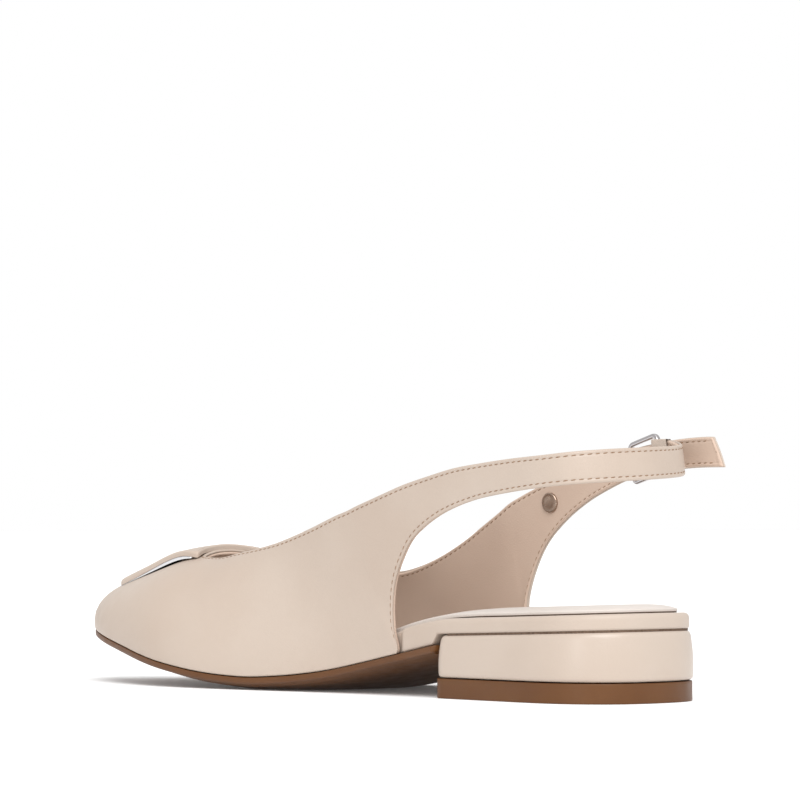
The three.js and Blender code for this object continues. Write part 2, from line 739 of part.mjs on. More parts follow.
// Height of the vamp's outer face over a place in plan, by looking through its triangles
const vampFaces = gridFaces(upperOuter.length, upperOuter[0].length, 0, false, false);
const vampPoints = upperOuter.flat();
const vampTriangles = vampFaces
  .map((face) => new THREE.Triangle(...face.map((i) => vampPoints[i])))
  .filter((triangle) => triangle.a.x > 0.7 * shoeLength);

function vampHeight(x, y) {
  let height = -Infinity;
  for (const { a, b, c } of vampTriangles) {
    const area = (b.x - a.x) * (c.y - a.y) - (c.x - a.x) * (b.y - a.y);
    const s = ((x - a.x) * (c.y - a.y) - (c.x - a.x) * (y - a.y)) / area;
    const t = ((b.x - a.x) * (y - a.y) - (x - a.x) * (b.y - a.y)) / area;
    const inside = s >= -1e-6 && t >= -1e-6 && s + t <= 1.000001;
    if (inside) height = Math.max(height, a.z + s * (b.z - a.z) + t * (c.z - a.z));
  }
  return height;
}

const plateMiddle = 0.007 * ballWidth;
const plateFlatness = 0.92; // the plate bends this much as strongly as the vamp under it

function metalThick(a) {
  return plateMetalThin + plateMetalSwell * Math.sin(Math.PI * a ** 0.62) ** 2;
}

// A layer of the ornament in front of the throat: a curved plate on the vamp
function ornamentLayer(liftAt, thickAt, inset) {
  const steps = Array.from({ length: 11 }, (_, i) => i / 10);
  const half = plateWidth / 2 - inset;
  const place = (a, b) => {
    const rear = plateRear * shoeLength + inset - plateRearBow * Math.abs(b) ** 2.2;
    const front = plateFront * shoeLength - inset - plateFrontBow * b * b;
    const edge = plateMiddle + b * half;
    const x = lerp(rear, front, a);
    const ahead = lerp(plateRear * shoeLength + 1.5, front, a);
    const under = Math.max(vampHeight(x, edge), vampHeight(ahead, plateMiddle + b * half * plateFlatness));
    return new THREE.Vector3(x, edge, under + gap + liftAt(a));
  };
  const bottom = steps.map((a) => steps.map((b) => place(a, 2 * b - 1)));
  const top = bottom.map((row, i) =>
    row.map((p) => p.clone().add(new THREE.Vector3(0, 0, thickAt(steps[i])))));
  return shell(bottom, top);
}

function material(color, roughness, metalness = 0) {
  return new THREE.MeshStandardMaterial({ color, roughness, metalness });
}

const leather = material('#dcc8b6', 0.45);
const rubber = material('#7a5638', 0.6);
const lining = material('#e9ddd2', 0.6);
const silver = material('#c9c9cc', 0.2, 1);

function piece(name, geometry, finish) {
  const mesh = new THREE.Mesh(geometry, finish);
  mesh.name = name;
  return mesh;
}

const shoe = new THREE.Group();
shoe.add(
  piece('toplift', toplift(), rubber),
  piece('heel_block', heelBlock(), leather),
  piece('outsole', outsole(), rubber),
  piece('footbed', footbed(), leather),
  piece('sock', sock(), lining),
  piece('upper', upper(), leather),
  piece('ornament_metal', ornamentLayer(() => 0, metalThick, 0.4), silver),
  piece('ornament_leather', ornamentLayer((a) => metalThick(a) + gap, () => plateThick, 0), leather),
);

const buckleGroup = buckleFrame();
buckleGroup.add(piece('buckle', buckle(), silver), piece('buckle_prong', prong(), silver));
shoe.add(buckleGroup);

const rivetGroup = rivetFrame();
rivetGroup.add(piece('rivet', rivet(), silver));
shoe.add(rivetGroup);

// The origin is on the floor under the middle of the shoe's box
const box = new THREE.Box3().setFromObject(shoe);
shoe.position.set(-(box.min.x + box.max.x) / 2, -(box.min.y + box.max.y) / 2, -box.min.z);

const part = new THREE.Group();
part.add(shoe);
export default part;
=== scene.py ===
import math
import bmesh
import bpy
import numpy as np
from mathutils import Matrix, Vector


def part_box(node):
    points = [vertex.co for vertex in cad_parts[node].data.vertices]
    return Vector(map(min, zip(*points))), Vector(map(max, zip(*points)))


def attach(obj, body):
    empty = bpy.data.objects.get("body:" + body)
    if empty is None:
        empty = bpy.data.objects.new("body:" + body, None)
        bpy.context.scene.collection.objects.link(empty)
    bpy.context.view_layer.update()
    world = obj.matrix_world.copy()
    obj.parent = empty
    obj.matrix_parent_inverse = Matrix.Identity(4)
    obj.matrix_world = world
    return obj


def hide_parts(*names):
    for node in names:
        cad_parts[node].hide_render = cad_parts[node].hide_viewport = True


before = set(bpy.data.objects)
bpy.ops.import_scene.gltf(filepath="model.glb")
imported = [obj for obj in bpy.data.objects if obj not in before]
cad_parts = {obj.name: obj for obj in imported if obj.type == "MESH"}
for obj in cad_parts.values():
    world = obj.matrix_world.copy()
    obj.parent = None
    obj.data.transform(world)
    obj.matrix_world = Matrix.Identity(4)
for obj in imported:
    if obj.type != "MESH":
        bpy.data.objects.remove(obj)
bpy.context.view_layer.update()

# The shoe is worked out in millimetres: x from the back of the heel, z from the floor
shoe = {
    "length": 252.0, "heelWidth": 55.2, "ballWidth": 76.6, "heelRound": 31.7, "toeRound": 30.0,
    "gap": 0.3, "topliftThick": 6.0, "blockRise": 12.6, "blockSlope": 2.4, "heelLength": 69.8,
    "heelCorner": 4.0, "heelFlare": 0.9, "tread": 4.0, "waistRise": 13.2, "toeSpring": 13.5,
    "archTilt": 0.8, "soleWall": 2.1, "belly": 2.3, "bevel": 0.5, "rimOverHeel": 4.85,
    "footbedThick": 3.6, "quarterBack": 0.345, "slingHeight": 75.4,
}
length, ballWidth, gap = shoe["length"], shoe["ballWidth"], shoe["gap"]


def table(columns, rows):  # named columns, one array each
    values = np.array(rows, float)
    return {name: values[:, k] for k, name in enumerate(columns.split())}


footprint = table("along middle ofHeel ofBall", [
    [0, 0, 1, 0], [0.12, 0, 1, 0], [0.26, -0.007, 0.99, 0.007], [0.35, -0.025, 0.75, 0.196],
    [0.45, -0.035, 0.45, 0.464], [0.55, -0.033, 0.18, 0.758], [0.64, -0.023, 0, 0.971],
    [0.7, -0.016, 0, 1], [0.77, 0.001, 0, 0.953], [0.84, 0.021, 0, 0.815],
    [0.91, 0.05, 0, 0.625], [1, 0.085, 0, 0.392],
])
soleLine = table("along ofWaist ofToe tilt belly", [
    [0.26, 0.955, 0, 0, 0.6], [0.303, 0.8, 0, 0, 0.6], [0.356, 0.61, 0, 0, 0.65],
    [0.41, 0.41, 0, 0.3, 0.75], [0.46, 0.235, 0, 0.7, 0.9], [0.508, 0.11, 0, 1, 1],
    [0.556, 0.03, 0, 1, 1], [0.596, 0, 0, 1, 1], [0.636, 0, 0.03, 1, 1],
    [0.671, 0, 0.085, 0.8, 0.95], [0.707, 0, 0.17, 0.6, 0.7], [0.75, 0, 0.29, 0.4, 0.42],
    [0.8, 0, 0.455, 0.2, 0.22], [0.85, 0, 0.63, 0, 0.12], [0.91, 0, 0.82, 0, 0.1],
    [0.95, 0, 0.92, 0, 0.1], [1, 0, 1, 0, 0.1],
])
footbedLine = table("along over", [
    [0, 1], [0.08, 0.97], [0.16, 0.942], [0.22, 0.922], [0.27, 0.894], [0.33, 0.796],
    [0.4, 0.612], [0.47, 0.41], [0.54, 0.245], [0.61, 0.176],
])


# Cubic pieces between the rows, whose slopes come from the rows on both sides
def curveAt(rows, column, at):
    along, value = rows["along"], rows[column]
    k = np.arange(len(along))
    before, after = np.maximum(k - 1, 0), np.minimum(k + 1, len(along) - 1)
    slope = (value[after] - value[before]) / (along[after] - along[before])
    i = np.clip(np.searchsorted(along[1:], at), 0, len(along) - 2)
    span = along[i + 1] - along[i]
    t = np.clip((at - along[i]) / span, 0, 1)
    bend = (2 * t**3 - 3 * t**2 + 1) * value[i] + (3 * t**2 - 2 * t**3) * value[i + 1]
    return bend + span * ((t**3 - 2 * t**2 + t) * slope[i] + (t**3 - t**2) * slope[i + 1])


def smoothstep(x, low, high):
    t = np.clip((x - low) / (high - low), 0, 1)
    return t * t * (3 - 2 * t)


def lerp(a, b, t):
    return a + (b - a) * t


def rounded(reach, power):  # a quarter of a superellipse, 1 at its middle and 0 at its end
    return (1 - np.clip(reach, 0, 1) ** power) ** (1 / power)


def middle(x):
    return curveAt(footprint, "middle", x / length) * ballWidth


def halfWidth(x):
    heel = curveAt(footprint, "ofHeel", x / length) * shoe["heelWidth"]
    ball = curveAt(footprint, "ofBall", x / length) * ballWidth
    back = rounded((shoe["heelRound"] - x) / shoe["heelRound"], 2.5)
    front = rounded((x - length + shoe["toeRound"]) / shoe["toeRound"], 2.2)
    return (heel + ball) / 2 * back * front


def soleTop(x, y):
    at = x / length
    side = np.clip((y - middle(x)) / (ballWidth / 2), -1, 1)
    tilt = shoe["archTilt"] * curveAt(soleLine, "tilt", at) * (side - 1) / 2
    waist = curveAt(soleLine, "ofWaist", at) * shoe["waistRise"]
    return shoe["tread"] + waist + curveAt(soleLine, "ofToe", at) * shoe["toeSpring"] + tilt


def blockTop(x):
    slope = shoe["blockSlope"] * (1 - x / shoe["heelLength"])
    return shoe["topliftThick"] + gap + shoe["blockRise"] + slope


def footbedTop(x, y):
    seat = blockTop(0) + gap + shoe["rimOverHeel"]
    rise = curveAt(footbedLine, "over", np.minimum(x / length, 0.61)) * seat
    board = soleTop(x, y) + gap + shoe["footbedThick"]
    return lerp(rise, board, smoothstep(x / length, 0.36, 0.6))


heelFront = shoe["heelLength"] - 1


def footbedBottom(x, y):
    step = smoothstep(x, heelFront - 0.5, heelFront + 2.5)
    return lerp(blockTop(x), soleTop(np.maximum(x, heelFront), y), step) + gap


# The part's frame has its origin under the middle of the CAD box
outlineX = np.linspace(0, length, 4001)
shift = Vector((
    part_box("toplift")[0].x * 1000,
    (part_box("outsole")[0].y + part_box("outsole")[1].y) * 500
    - ((middle(outlineX) + halfWidth(outlineX)).max() + (middle(outlineX) - halfWidth(outlineX)).min()) / 2,
    0,
))
collection = bpy.context.scene.collection


# A mesh from points in the shoe's millimetres and its faces, both as whole arrays
def addPiece(name, points, faces, material, slot, body="root"):
    points = (np.asarray(points, float).reshape(-1, 3) + np.array(shift)) / 1000
    faces = np.asarray(faces, np.int32)
    mesh = bpy.data.meshes.new(name)
    mesh.vertices.add(len(points))
    mesh.vertices.foreach_set("co", points.astype(np.float32).ravel())
    mesh.loops.add(faces.size)
    mesh.loops.foreach_set("vertex_index", faces.ravel())
    mesh.polygons.add(len(faces))
    mesh.polygons.foreach_set("loop_start", np.arange(0, faces.size, faces.shape[1], dtype=np.int32))
    mesh.update(calc_edges=True)
    shape = bmesh.new()
    shape.from_mesh(mesh)
    bmesh.ops.remove_doubles(shape, verts=shape.verts, dist=2e-6)
    bmesh.ops.dissolve_degenerate(shape, edges=shape.edges, dist=1e-6)
    bmesh.ops.recalc_face_normals(shape, faces=shape.faces)
    for face in shape.faces:
        face.smooth = True
    shape.to_mesh(mesh)
    shape.free()
    mesh.materials.append(material)
    piece = bpy.data.objects.new(name, mesh)
    collection.objects.link(piece)
    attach(piece, body)
    return piece


def gridFaces(rows, columns, closedRows=False, closedColumns=False, start=0):
    i = np.arange(rows if closedRows else rows - 1)[:, None]
    j = np.arange(columns if closedColumns else columns - 1)[None, :]
    nextI, nextJ = (i + 1) % rows, (j + 1) % columns
    corners = [i * columns + j, i * columns + nextJ, nextI * columns + nextJ, nextI * columns + j]
    return np.stack(np.broadcast_arrays(*corners), -1).reshape(-1, 4) + start


print("materials")


def makeMaterial(name, finish, build):
    material = bpy.data.materials.new(name)
    material.use_nodes = True
    tree = material.node_tree
    shader = next(n for n in tree.nodes if n.type == "BSDF_PRINCIPLED")
    for socket, value in finish.items():
        shader.inputs[socket].default_value = value
    place = tree.nodes.new("ShaderNodeTexCoord").outputs["Object"]
    build(tree, shader, place)
    return material


def noise(tree, place, scale, detail=3.0, roughness=0.5, stretch=None):
    if stretch:
        mapping = tree.nodes.new("ShaderNodeMapping")
        mapping.inputs["Scale"].default_value = stretch
        tree.links.new(place, mapping.inputs["Vector"])
        place = mapping.outputs["Vector"]
    node = tree.nodes.new("ShaderNodeTexNoise")
    node.inputs["Scale"].default_value = scale
    node.inputs["Detail"].default_value = detail
    node.inputs["Roughness"].default_value = roughness
    tree.links.new(place, node.inputs["Vector"])
    return node.outputs["Fac"]


def cells(tree, place, scale, feature="F1"):
    node = tree.nodes.new("ShaderNodeTexVoronoi")
    node.feature = feature
    node.inputs["Scale"].default_value = scale
    tree.links.new(place, node.inputs["Vector"])
    return node.outputs["Distance"]


def ramp(tree, value, stops):
    node = tree.nodes.new("ShaderNodeValToRGB")
    band = node.color_ramp
    while len(band.elements) < len(stops):
        band.elements.new(0.5)
    for element, (at, color) in zip(band.elements, stops):
        element.position = at
        element.color = (*color, 1) if len(color) == 3 else color
    tree.links.new(value, node.inputs["Fac"])
    return node.outputs["Color"]


def spread(tree, value, low, high, start=0.0, end=1.0):
    node = tree.nodes.new("ShaderNodeMapRange")
    for socket, number in (("From Min", start), ("From Max", end), ("To Min", low), ("To Max", high)):
        node.inputs[socket].default_value = number
    tree.links.new(value, node.inputs["Value"])
    return node.outputs["Result"]


def bump(tree, shader, heights, below=None):
    for value, depth in heights:  # each height adds to the last, depth in millimetres
        node = tree.nodes.new("ShaderNodeBump")
        node.inputs["Strength"].default_value = 1.0
        node.inputs["Distance"].default_value = depth / 1000
        tree.links.new(value, node.inputs["Height"])
        if below:
            tree.links.new(below, node.inputs["Normal"])
        below = node.outputs["Normal"]
    tree.links.new(below, shader.inputs["Normal"])


# The linear colour of a screen colour, dimmed as the stage is lit brighter than white
def shade(red, green, blue, dim=0.8):
    screen = np.array([red, green, blue]) / 255
    return tuple(dim * np.where(screen < 0.04045, screen / 12.92, ((screen + 0.055) / 1.055) ** 2.4))


leatherLook = {
    "light": shade(200, 184, 170), "dark": shade(194, 176, 161), "grain": 1500.0, "grainDepth": 0.035,
    "fineDepth": 0.02, "roughness": (0.4, 0.52),
}


def leatherNodes(look):
    def build(tree, shader, place):
        tone = noise(tree, place, 22, 4)
        color = ramp(tree, tone, [(0.35, look["dark"]), (0.65, look["light"])])
        tree.links.new(color, shader.inputs["Base Color"])
        grain = cells(tree, place, look["grain"], "SMOOTH_F1")
        fine = noise(tree, place, look["grain"] * 2.2, 2)
        rough = spread(tree, noise(tree, place, 180, 3), *look["roughness"], 0.3, 0.7)
        tree.links.new(rough, shader.inputs["Roughness"])
        bump(tree, shader, [(grain, look["grainDepth"]), (fine, look["fineDepth"])])
    return build


def satinFinish(specular):
    return {"Specular IOR Level": specular, "Coat Weight": 0.06, "Coat Roughness": 0.35}


leather = makeMaterial("nudeCalf", satinFinish(0.42), leatherNodes(leatherLook))
heelLook = {**leatherLook, "roughness": (0.3, 0.34)}
heelLeather = makeMaterial("heelCover", satinFinish(0.5), leatherNodes(heelLook))
lining = makeMaterial("liningLeather", satinFinish(0.25), leatherNodes({
    **leatherLook, "light": shade(216, 192, 174), "dark": shade(208, 183, 165), "grain": 2200.0,
    "roughness": (0.55, 0.68),
}))
sockLeather = makeMaterial("sockLeather", satinFinish(0.3), leatherNodes({
    **leatherLook, "light": shade(220, 211, 204), "dark": shade(213, 203, 194), "grain": 1900.0,
    "roughness": (0.5, 0.62),
}))


# A dark brown with a fine cell bump, for thin sheets whose colour paints the shade in narrow gaps: under the
# sock's edge and between the heel block and the footbed
def gapShadeNodes(tree, shader, place):
    color = ramp(tree, noise(tree, place, 1200, 2), [(0.3, shade(92, 76, 64)), (0.7, shade(120, 100, 86))])
    tree.links.new(color, shader.inputs["Base Color"])
    bump(tree, shader, [(cells(tree, place, 2600), 0.06)])


gapShade = makeMaterial("paintedGapShade", {"Roughness": 0.9, "Specular IOR Level": 0.15}, gapShadeNodes)


def rubberNodes(tree, shader, place):
    mottle = noise(tree, place, 60, 4)
    color = ramp(tree, mottle, [(0.3, shade(98, 60, 28)), (0.7, shade(107, 68, 34))])
    tree.links.new(color, shader.inputs["Base Color"])
    rough = spread(tree, noise(tree, place, 240, 2), 0.36, 0.5, 0.3, 0.7)
    tree.links.new(rough, shader.inputs["Roughness"])
    brushed = noise(tree, place, 900, 2, stretch=(0.15, 0.15, 1.6))
    bump(tree, shader, [(brushed, 0.02), (noise(tree, place, 3000, 2), 0.012)])


rubber = makeMaterial("brownRubber", {"Specular IOR Level": 0.3}, rubberNodes)


def metalNodes(tone, rough):
    def build(tree, shader, place):
        wipe = noise(tree, place, 500, 3)
        color = ramp(tree, wipe, [(0.3, tuple(0.94 * np.array(tone))), (0.7, tone)])
        tree.links.new(color, shader.inputs["Base Color"])
        tree.links.new(spread(tree, wipe, *rough, 0.3, 0.7), shader.inputs["Roughness"])
        bump(tree, shader, [(noise(tree, place, 2600, 2, stretch=(1, 1, 0.2)), 0.002)])
    return build


silver = makeMaterial("silverPlate", {"Metallic": 1.0}, metalNodes(shade(244, 243, 245), (0.06, 0.14)))
buckleNodes = metalNodes(shade(205, 200, 201), (0.06, 0.12))
buckleSilver = makeMaterial("buckleSilver", {"Metallic": 1.0}, buckleNodes)
rivetMetal = makeMaterial("rivetPlate", {"Metallic": 1.0}, metalNodes(shade(182, 160, 144), (0.24, 0.36)))


def threadNodes(tree, shader, place):
    color = ramp(tree, noise(tree, place, 2500, 2), [(0.3, shade(140, 110, 88)), (0.7, shade(164, 134, 108))])
    tree.links.new(color, shader.inputs["Base Color"])
    bump(tree, shader, [(noise(tree, place, 9000, 1), 0.03)])


thread = makeMaterial("tanThread", {"Roughness": 0.7, "Specular IOR Level": 0.25}, threadNodes)


print("sole and heel")


# Places along a span that lie closer together at both of its ends
def stations(start, end, count):
    return start + (end - start) * (1 - np.cos(np.linspace(0, math.pi, count))) / 2


def outlineOver(xs):  # counter-clockwise from above: the outer side, then the inner side back
    right = np.stack([xs, middle(xs) - halfWidth(xs)], 1)
    left = np.stack([xs, middle(xs) + halfWidth(xs)], 1)[::-1]
    ring = np.concatenate([right, left])
    return ring[np.linalg.norm(ring - np.roll(ring, 1, 0), axis=1) > 0.03]


def spineOf(points, margin=0.0):  # the nearest point of a line down the middle of the shoe
    x = np.clip(points[:, 0], shoe["heelRound"] - margin, length - shoe["toeRound"] + margin)
    return np.stack([x, middle(x)], 1)


def edgeNormals(ring):
    way = np.roll(ring, -1, 0) - np.roll(ring, 1, 0)
    normal = np.stack([way[:, 1], -way[:, 0]], 1)
    return normal / np.linalg.norm(normal, axis=1)[:, None]


# Rings round a slab's edge as rows of reach, inset, level and lift: in over the underside,
# up round its lower edge, up the side, over its upper edge and in over the top
def slabRings(lower, upper, inner=8, side=8, steps=6):
    turn = np.linspace(0, math.pi / 2, steps)
    flat = np.zeros(inner)
    reach = np.linspace(0, 1, inner + 1)[:-1]
    bottom = np.stack([reach, flat + lower, flat, flat], 1)
    lowEdge = np.stack([turn * 0 + 1, lower * (1 - np.sin(turn)), turn * 0, lower * (1 - np.cos(turn))], 1)
    level = np.linspace(0, 1, side + 2)[1:-1]
    sides = np.stack([level * 0 + 1, level * 0, level, lerp(lower, -upper, level)], 1)
    over = upper * (1 - np.cos(turn))
    highEdge = np.stack([turn * 0 + 1, over, turn * 0 + 1, -upper * (1 - np.sin(turn))], 1)
    top = np.stack([reach[::-1], flat + upper, flat + 1, flat], 1)
    return np.concatenate([bottom, lowEdge, sides, highEdge, top])


# Each ring is the outline, moved in along its normals and drawn to its core by the reach,
# at a height between the underside and the top
def slab(ring, core, rings, bottomAt, topAt, extraInset=0.0, relief=None):
    normal = edgeNormals(ring)
    reach, inset, level, lift = (rings[:, k][:, None] for k in range(4))
    edge = ring[None] - normal[None] * (inset + extraInset)[..., None]
    place = core[None] + (edge - core[None]) * reach[..., None]
    x, y = place[..., 0], place[..., 1]
    z = lerp(bottomAt(x, y), topAt(x, y), level) + lift
    if relief:
        z = z + relief(x, y, reach, level)
    return np.stack([x, y, z], -1), gridFaces(*x.shape, closedColumns=True)


# The heel's outline is the footprint, cut straight across with rounded corners
def heelOutline(front):
    corner = shoe["heelCorner"]
    xs = stations(0, 2 * (front - corner), 420)
    xs = xs[xs < front - corner - 0.05]
    half = float(halfWidth(np.array(front - corner))) - corner
    turn = np.linspace(0, math.pi / 2, 13)
    across = np.linspace(1, 0, 24)[1:] * half
    arcX = np.concatenate([front - corner + corner * np.sin(turn), across * 0 + front])
    arcY = np.concatenate([half + corner * np.cos(turn), across])
    center = middle(np.array(front - corner))
    right = np.concatenate([middle(xs) - halfWidth(xs), center - arcY])
    left = np.concatenate([middle(xs) + halfWidth(xs), center + arcY])
    x = np.concatenate([xs, arcX])
    ring = np.concatenate([np.stack([x, right], 1), np.stack([x, left], 1)[::-1]])
    return ring[np.linalg.norm(ring - np.roll(ring, 1, 0), axis=1) > 0.03]


def flatAt(height):
    return lambda x, y: np.full_like(x, height)


toplift = {"edge": 0.35}
heelBlock = {"lowEdge": 1.1, "highEdge": 1.6, "belly": 0.25}

ring = heelOutline(shoe["heelLength"])
points, faces = slab(ring, spineOf(ring, -4), slabRings(toplift["edge"], toplift["edge"]),
                     flatAt(0), flatAt(shoe["topliftThick"]))
topliftPiece = addPiece("toplift_smooth", points, faces, rubber, "sole_rubber")
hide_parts("toplift")

ring = heelOutline(heelFront)
rings = slabRings(heelBlock["lowEdge"], heelBlock["highEdge"], side=14)
level = rings[:, 2] + rings[:, 3] / 15
flare = shoe["heelFlare"] * level**2 - heelBlock["belly"] * np.sin(np.clip(level, 0, 1) * math.pi) - 0.2
points, faces = slab(ring, spineOf(ring, -4), rings, flatAt(shoe["topliftThick"] + gap),
                     lambda x, y: blockTop(x), extraInset=flare[:, None])
blockPiece = addPiece("heel_block_smooth", points, faces, heelLeather, "leather")
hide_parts("heel_block")

# A dark sheet a little way in closes the gap between the block and the footbed; its dark colour is painted
# shade in the gap
seam = {"inset": 1.3, "below": 0.8, "above": 0.8}
ring = heelOutline(heelFront - seam["inset"])
points, faces = slab(ring, spineOf(ring, -4), slabRings(0.05, 0.05, inner=3, side=2),
                     lambda x, y: blockTop(x) - seam["below"], lambda x, y: blockTop(x) + gap + seam["above"],
                     extraInset=seam["inset"])
addPiece("heel_gap_shade", points, faces, gapShade, "leather")

# The outsole: its belly hangs under the edge by one minus the cube of the reach, and it is
# cut flat where it stands on the floor
outsole = {"lowEdge": 0.9, "edge": 0.25, "groove": 0.35, "grooveAt": 0.9, "grooveWidth": 0.012}
start = heelFront + gap + 0.2
xs = stations(2 * start - length, length, 900)
xs = xs[xs > start + 0.6]
backY = np.linspace(0.97, 0, 14) * float(halfWidth(np.array(start)))
back = np.stack([backY * 0 + start, middle(np.array(start)) - backY], 1)[::-1]
ring = outlineOver(xs)
ring = np.concatenate([back, ring, (back * [1, -1] + [0, 2 * middle(np.array(start))])[::-1][:-1]])
rings = slabRings(outsole["lowEdge"], outsole["edge"], inner=22, side=4)


def soleBottom(x, y):
    return soleTop(x, y) - shoe["soleWall"]


def soleBelly(x, y, reach, level):
    fullness = curveAt(soleLine, "belly", x / length)
    under = reach < 1
    hang = shoe["belly"] * (1 - reach**3) + shoe["bevel"]
    fromGroove = (reach - outsole["grooveAt"]) / outsole["grooveWidth"]
    rim = np.exp(-(fromGroove**2)) * outsole["groove"]
    low = np.maximum(soleBottom(x, y) - fullness * hang, 0)
    return np.where((level < 0.01) & under, low - soleBottom(x, y) + rim, 0)


core = spineOf(ring, 30)
points, faces = slab(ring, core, rings, soleBottom, soleTop, relief=soleBelly)
points[..., 2] = np.maximum(points[..., 2], 0)
outsolePiece = addPiece("outsole_smooth", points, faces, rubber, "sole_rubber")
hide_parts("outsole")

footbed = {"rimInset": 0.9, "edge": 1.6, "lowEdge": 0.8, "wallInset": 2.55}
sock = {
    "inset": 4.4, "thick": 1.1, "pad": 1.4, "edge": 0.45, "foamThick": 0.3,
    "foamFade": (52, 72),
}

cornerX = shoe["quarterBack"] * length
step = heelFront + np.linspace(-1, 3, 15)
xs = np.unique(np.concatenate([stations(0, length - footbed["wallInset"], 460), step]))
ring = outlineOver(xs)
inward = lerp(footbed["rimInset"], footbed["wallInset"], smoothstep(ring[:, 0], cornerX - 2.5, cornerX - 0.2))
points, faces = slab(ring, spineOf(ring, 12), slabRings(footbed["lowEdge"], footbed["edge"], side=6),
                     footbedBottom, footbedTop, extraInset=inward[None, :])
footbedPiece = addPiece("footbed_smooth", points, faces, leather, "leather")
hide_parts("footbed")

# A thin dark layer under the sock: the line of it that shows below the sock's edge is painted shadow of the
# gap there, and towards the front it moves farther in so the painted line fades
ring = outlineOver(stations(0, length - 1, 460))
foamTop = sock["foamThick"]
points, faces = slab(ring, spineOf(ring, 12), slabRings(0.1, 0.1, side=3),
                     lambda x, y: footbedTop(x, y) + 0.05, lambda x, y: footbedTop(x, y) + 0.05 + foamTop,
                     extraInset=sock["inset"] + 0.25 + 3 * smoothstep(ring[:, 0], *sock["foamFade"])[None, :])
sockShadePiece = addPiece("sock_gap_shade", points, faces, gapShade, "sock_leather")


def sockPad(x, y, reach, level):
    pad = sock["pad"] * (1 - smoothstep(x, 0.2 * length, 0.36 * length)) * (1 - reach**5)
    return pad * (level > 0.5)


points, faces = slab(ring, spineOf(ring, 12), slabRings(0.2, sock["edge"], inner=16, side=3),
                     lambda x, y: footbedTop(x, y) + 0.05 + foamTop * (1 - smoothstep(x, *sock["foamFade"])),
                     lambda x, y: footbedTop(x, y) + gap + sock["thick"],
                     extraInset=sock["inset"], relief=sockPad)
sockPiece = addPiece("sock_smooth", points, faces, sockLeather, "sock_leather")
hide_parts("sock")

print("upper")
nan = float("nan")  # a lower edge on the sole has a side, 1 for inner and -1 for outer, and no height
strip = table("lowAlong lowAcross lowHigh along across high", [
    [0.118, -0.364, 0.919, 0.115, -0.364, 1.037], [0.085, -0.347, 0.908, 0.084, -0.347, 1.028],
    [0.053, -0.296, 0.89, 0.057, -0.294, 1.012], [0.03, -0.186, 0.878, 0.037, -0.184, 1.001],
    [0.019, 0, 0.867, 0.026, 0, 0.993], [0.029, 0.186, 0.857, 0.035, 0.184, 0.984],
    [0.054, 0.3, 0.848, 0.057, 0.298, 0.974], [0.095, 0.345, 0.835, 0.091, 0.342, 0.962],
    [0.151, 0.355, 0.814, 0.143, 0.35, 0.949], [0.198, 0.355, 0.79, 0.19, 0.35, 0.934],
    [0.242, 0.354, 0.752, 0.238, 0.349, 0.915], [0.278, 0.352, 0.703, 0.286, 0.346, 0.883],
    [0.31, 0.349, 0.635, 0.329, 0.342, 0.851], [0.33, 0.345, 0.552, 0.365, 0.338, 0.817],
    [0.344, 0.34, 0.462, 0.393, 0.334, 0.79], [0.35, 0.335, 0.365, 0.417, 0.33, 0.767],
    [0.35, 0.3305, 0.27, 0.437, 0.326, 0.746], [0.345, 1, nan, 0.456, 0.321, 0.73],
    [0.382, 1, nan, 0.478, 0.316, 0.708], [0.435, 1, nan, 0.508, 0.305, 0.678],
    [0.492, 1, nan, 0.544, 0.294, 0.645], [0.552, 1, nan, 0.583, 0.281, 0.612],
    [0.611, 1, nan, 0.623, 0.266, 0.586], [0.667, 1, nan, 0.665, 0.252, 0.562],
    [0.722, 1, nan, 0.706, 0.232, 0.54], [0.778, 1, nan, 0.742, 0.209, 0.539],
    [0.829, 1, nan, 0.765, 0.172, 0.545], [0.877, 1, nan, 0.776, 0.123, 0.556],
    [0.921, 1, nan, 0.78, 0.076, 0.566], [0.96, 1, nan, 0.782, 0.037, 0.571],
    [0.988, 1, nan, 0.782, 0.003, 0.573], [1, 1, nan, 0.782, -0.031, 0.573],
    [0.986, -1, nan, 0.78, -0.068, 0.57], [0.952, -1, nan, 0.777, -0.112, 0.562],
    [0.909, -1, nan, 0.767, -0.162, 0.549], [0.857, -1, nan, 0.748, -0.219, 0.529],
    [0.802, -1, nan, 0.72, -0.269, 0.505], [0.746, -1, nan, 0.685, -0.309, 0.493],
    [0.69, -1, nan, 0.645, -0.337, 0.485], [0.635, -1, nan, 0.605, -0.355, 0.482],
    [0.579, -1, nan, 0.567, -0.366, 0.487], [0.524, -1, nan, 0.53, -0.371, 0.516],
    [0.468, -1, nan, 0.492, -0.373, 0.562], [0.417, -1, nan, 0.452, -0.375, 0.624],
    [0.377, -1, nan, 0.417, -0.375, 0.69], [0.342, -1, nan, 0.389, -0.373, 0.742],
    [0.343, -0.379, 0.272, 0.369, -0.372, 0.782], [0.341, -0.381, 0.385, 0.347, -0.372, 0.813],
    [0.327, -0.383, 0.511, 0.325, -0.372, 0.841], [0.306, -0.384, 0.617, 0.302, -0.373, 0.867],
    [0.274, -0.385, 0.71, 0.272, -0.376, 0.895], [0.236, -0.384, 0.785, 0.23, -0.377, 0.925],
    [0.197, -0.377, 0.838, 0.188, -0.373, 0.965], [0.164, -0.367, 0.872, 0.155, -0.367, 0.996],
    [0.137, -0.393, 0.893, 0.13, -0.393, 1.016], [0.11, -0.416, 0.907, 0.106, -0.416, 1.03],
    [0.083, -0.42, 0.916, 0.08, -0.42, 1.038], [0.053, -0.42, 0.92, 0.051, -0.42, 1.042],
    [0.019, -0.42, 0.92, 0.037, -0.42, 1.041],
])
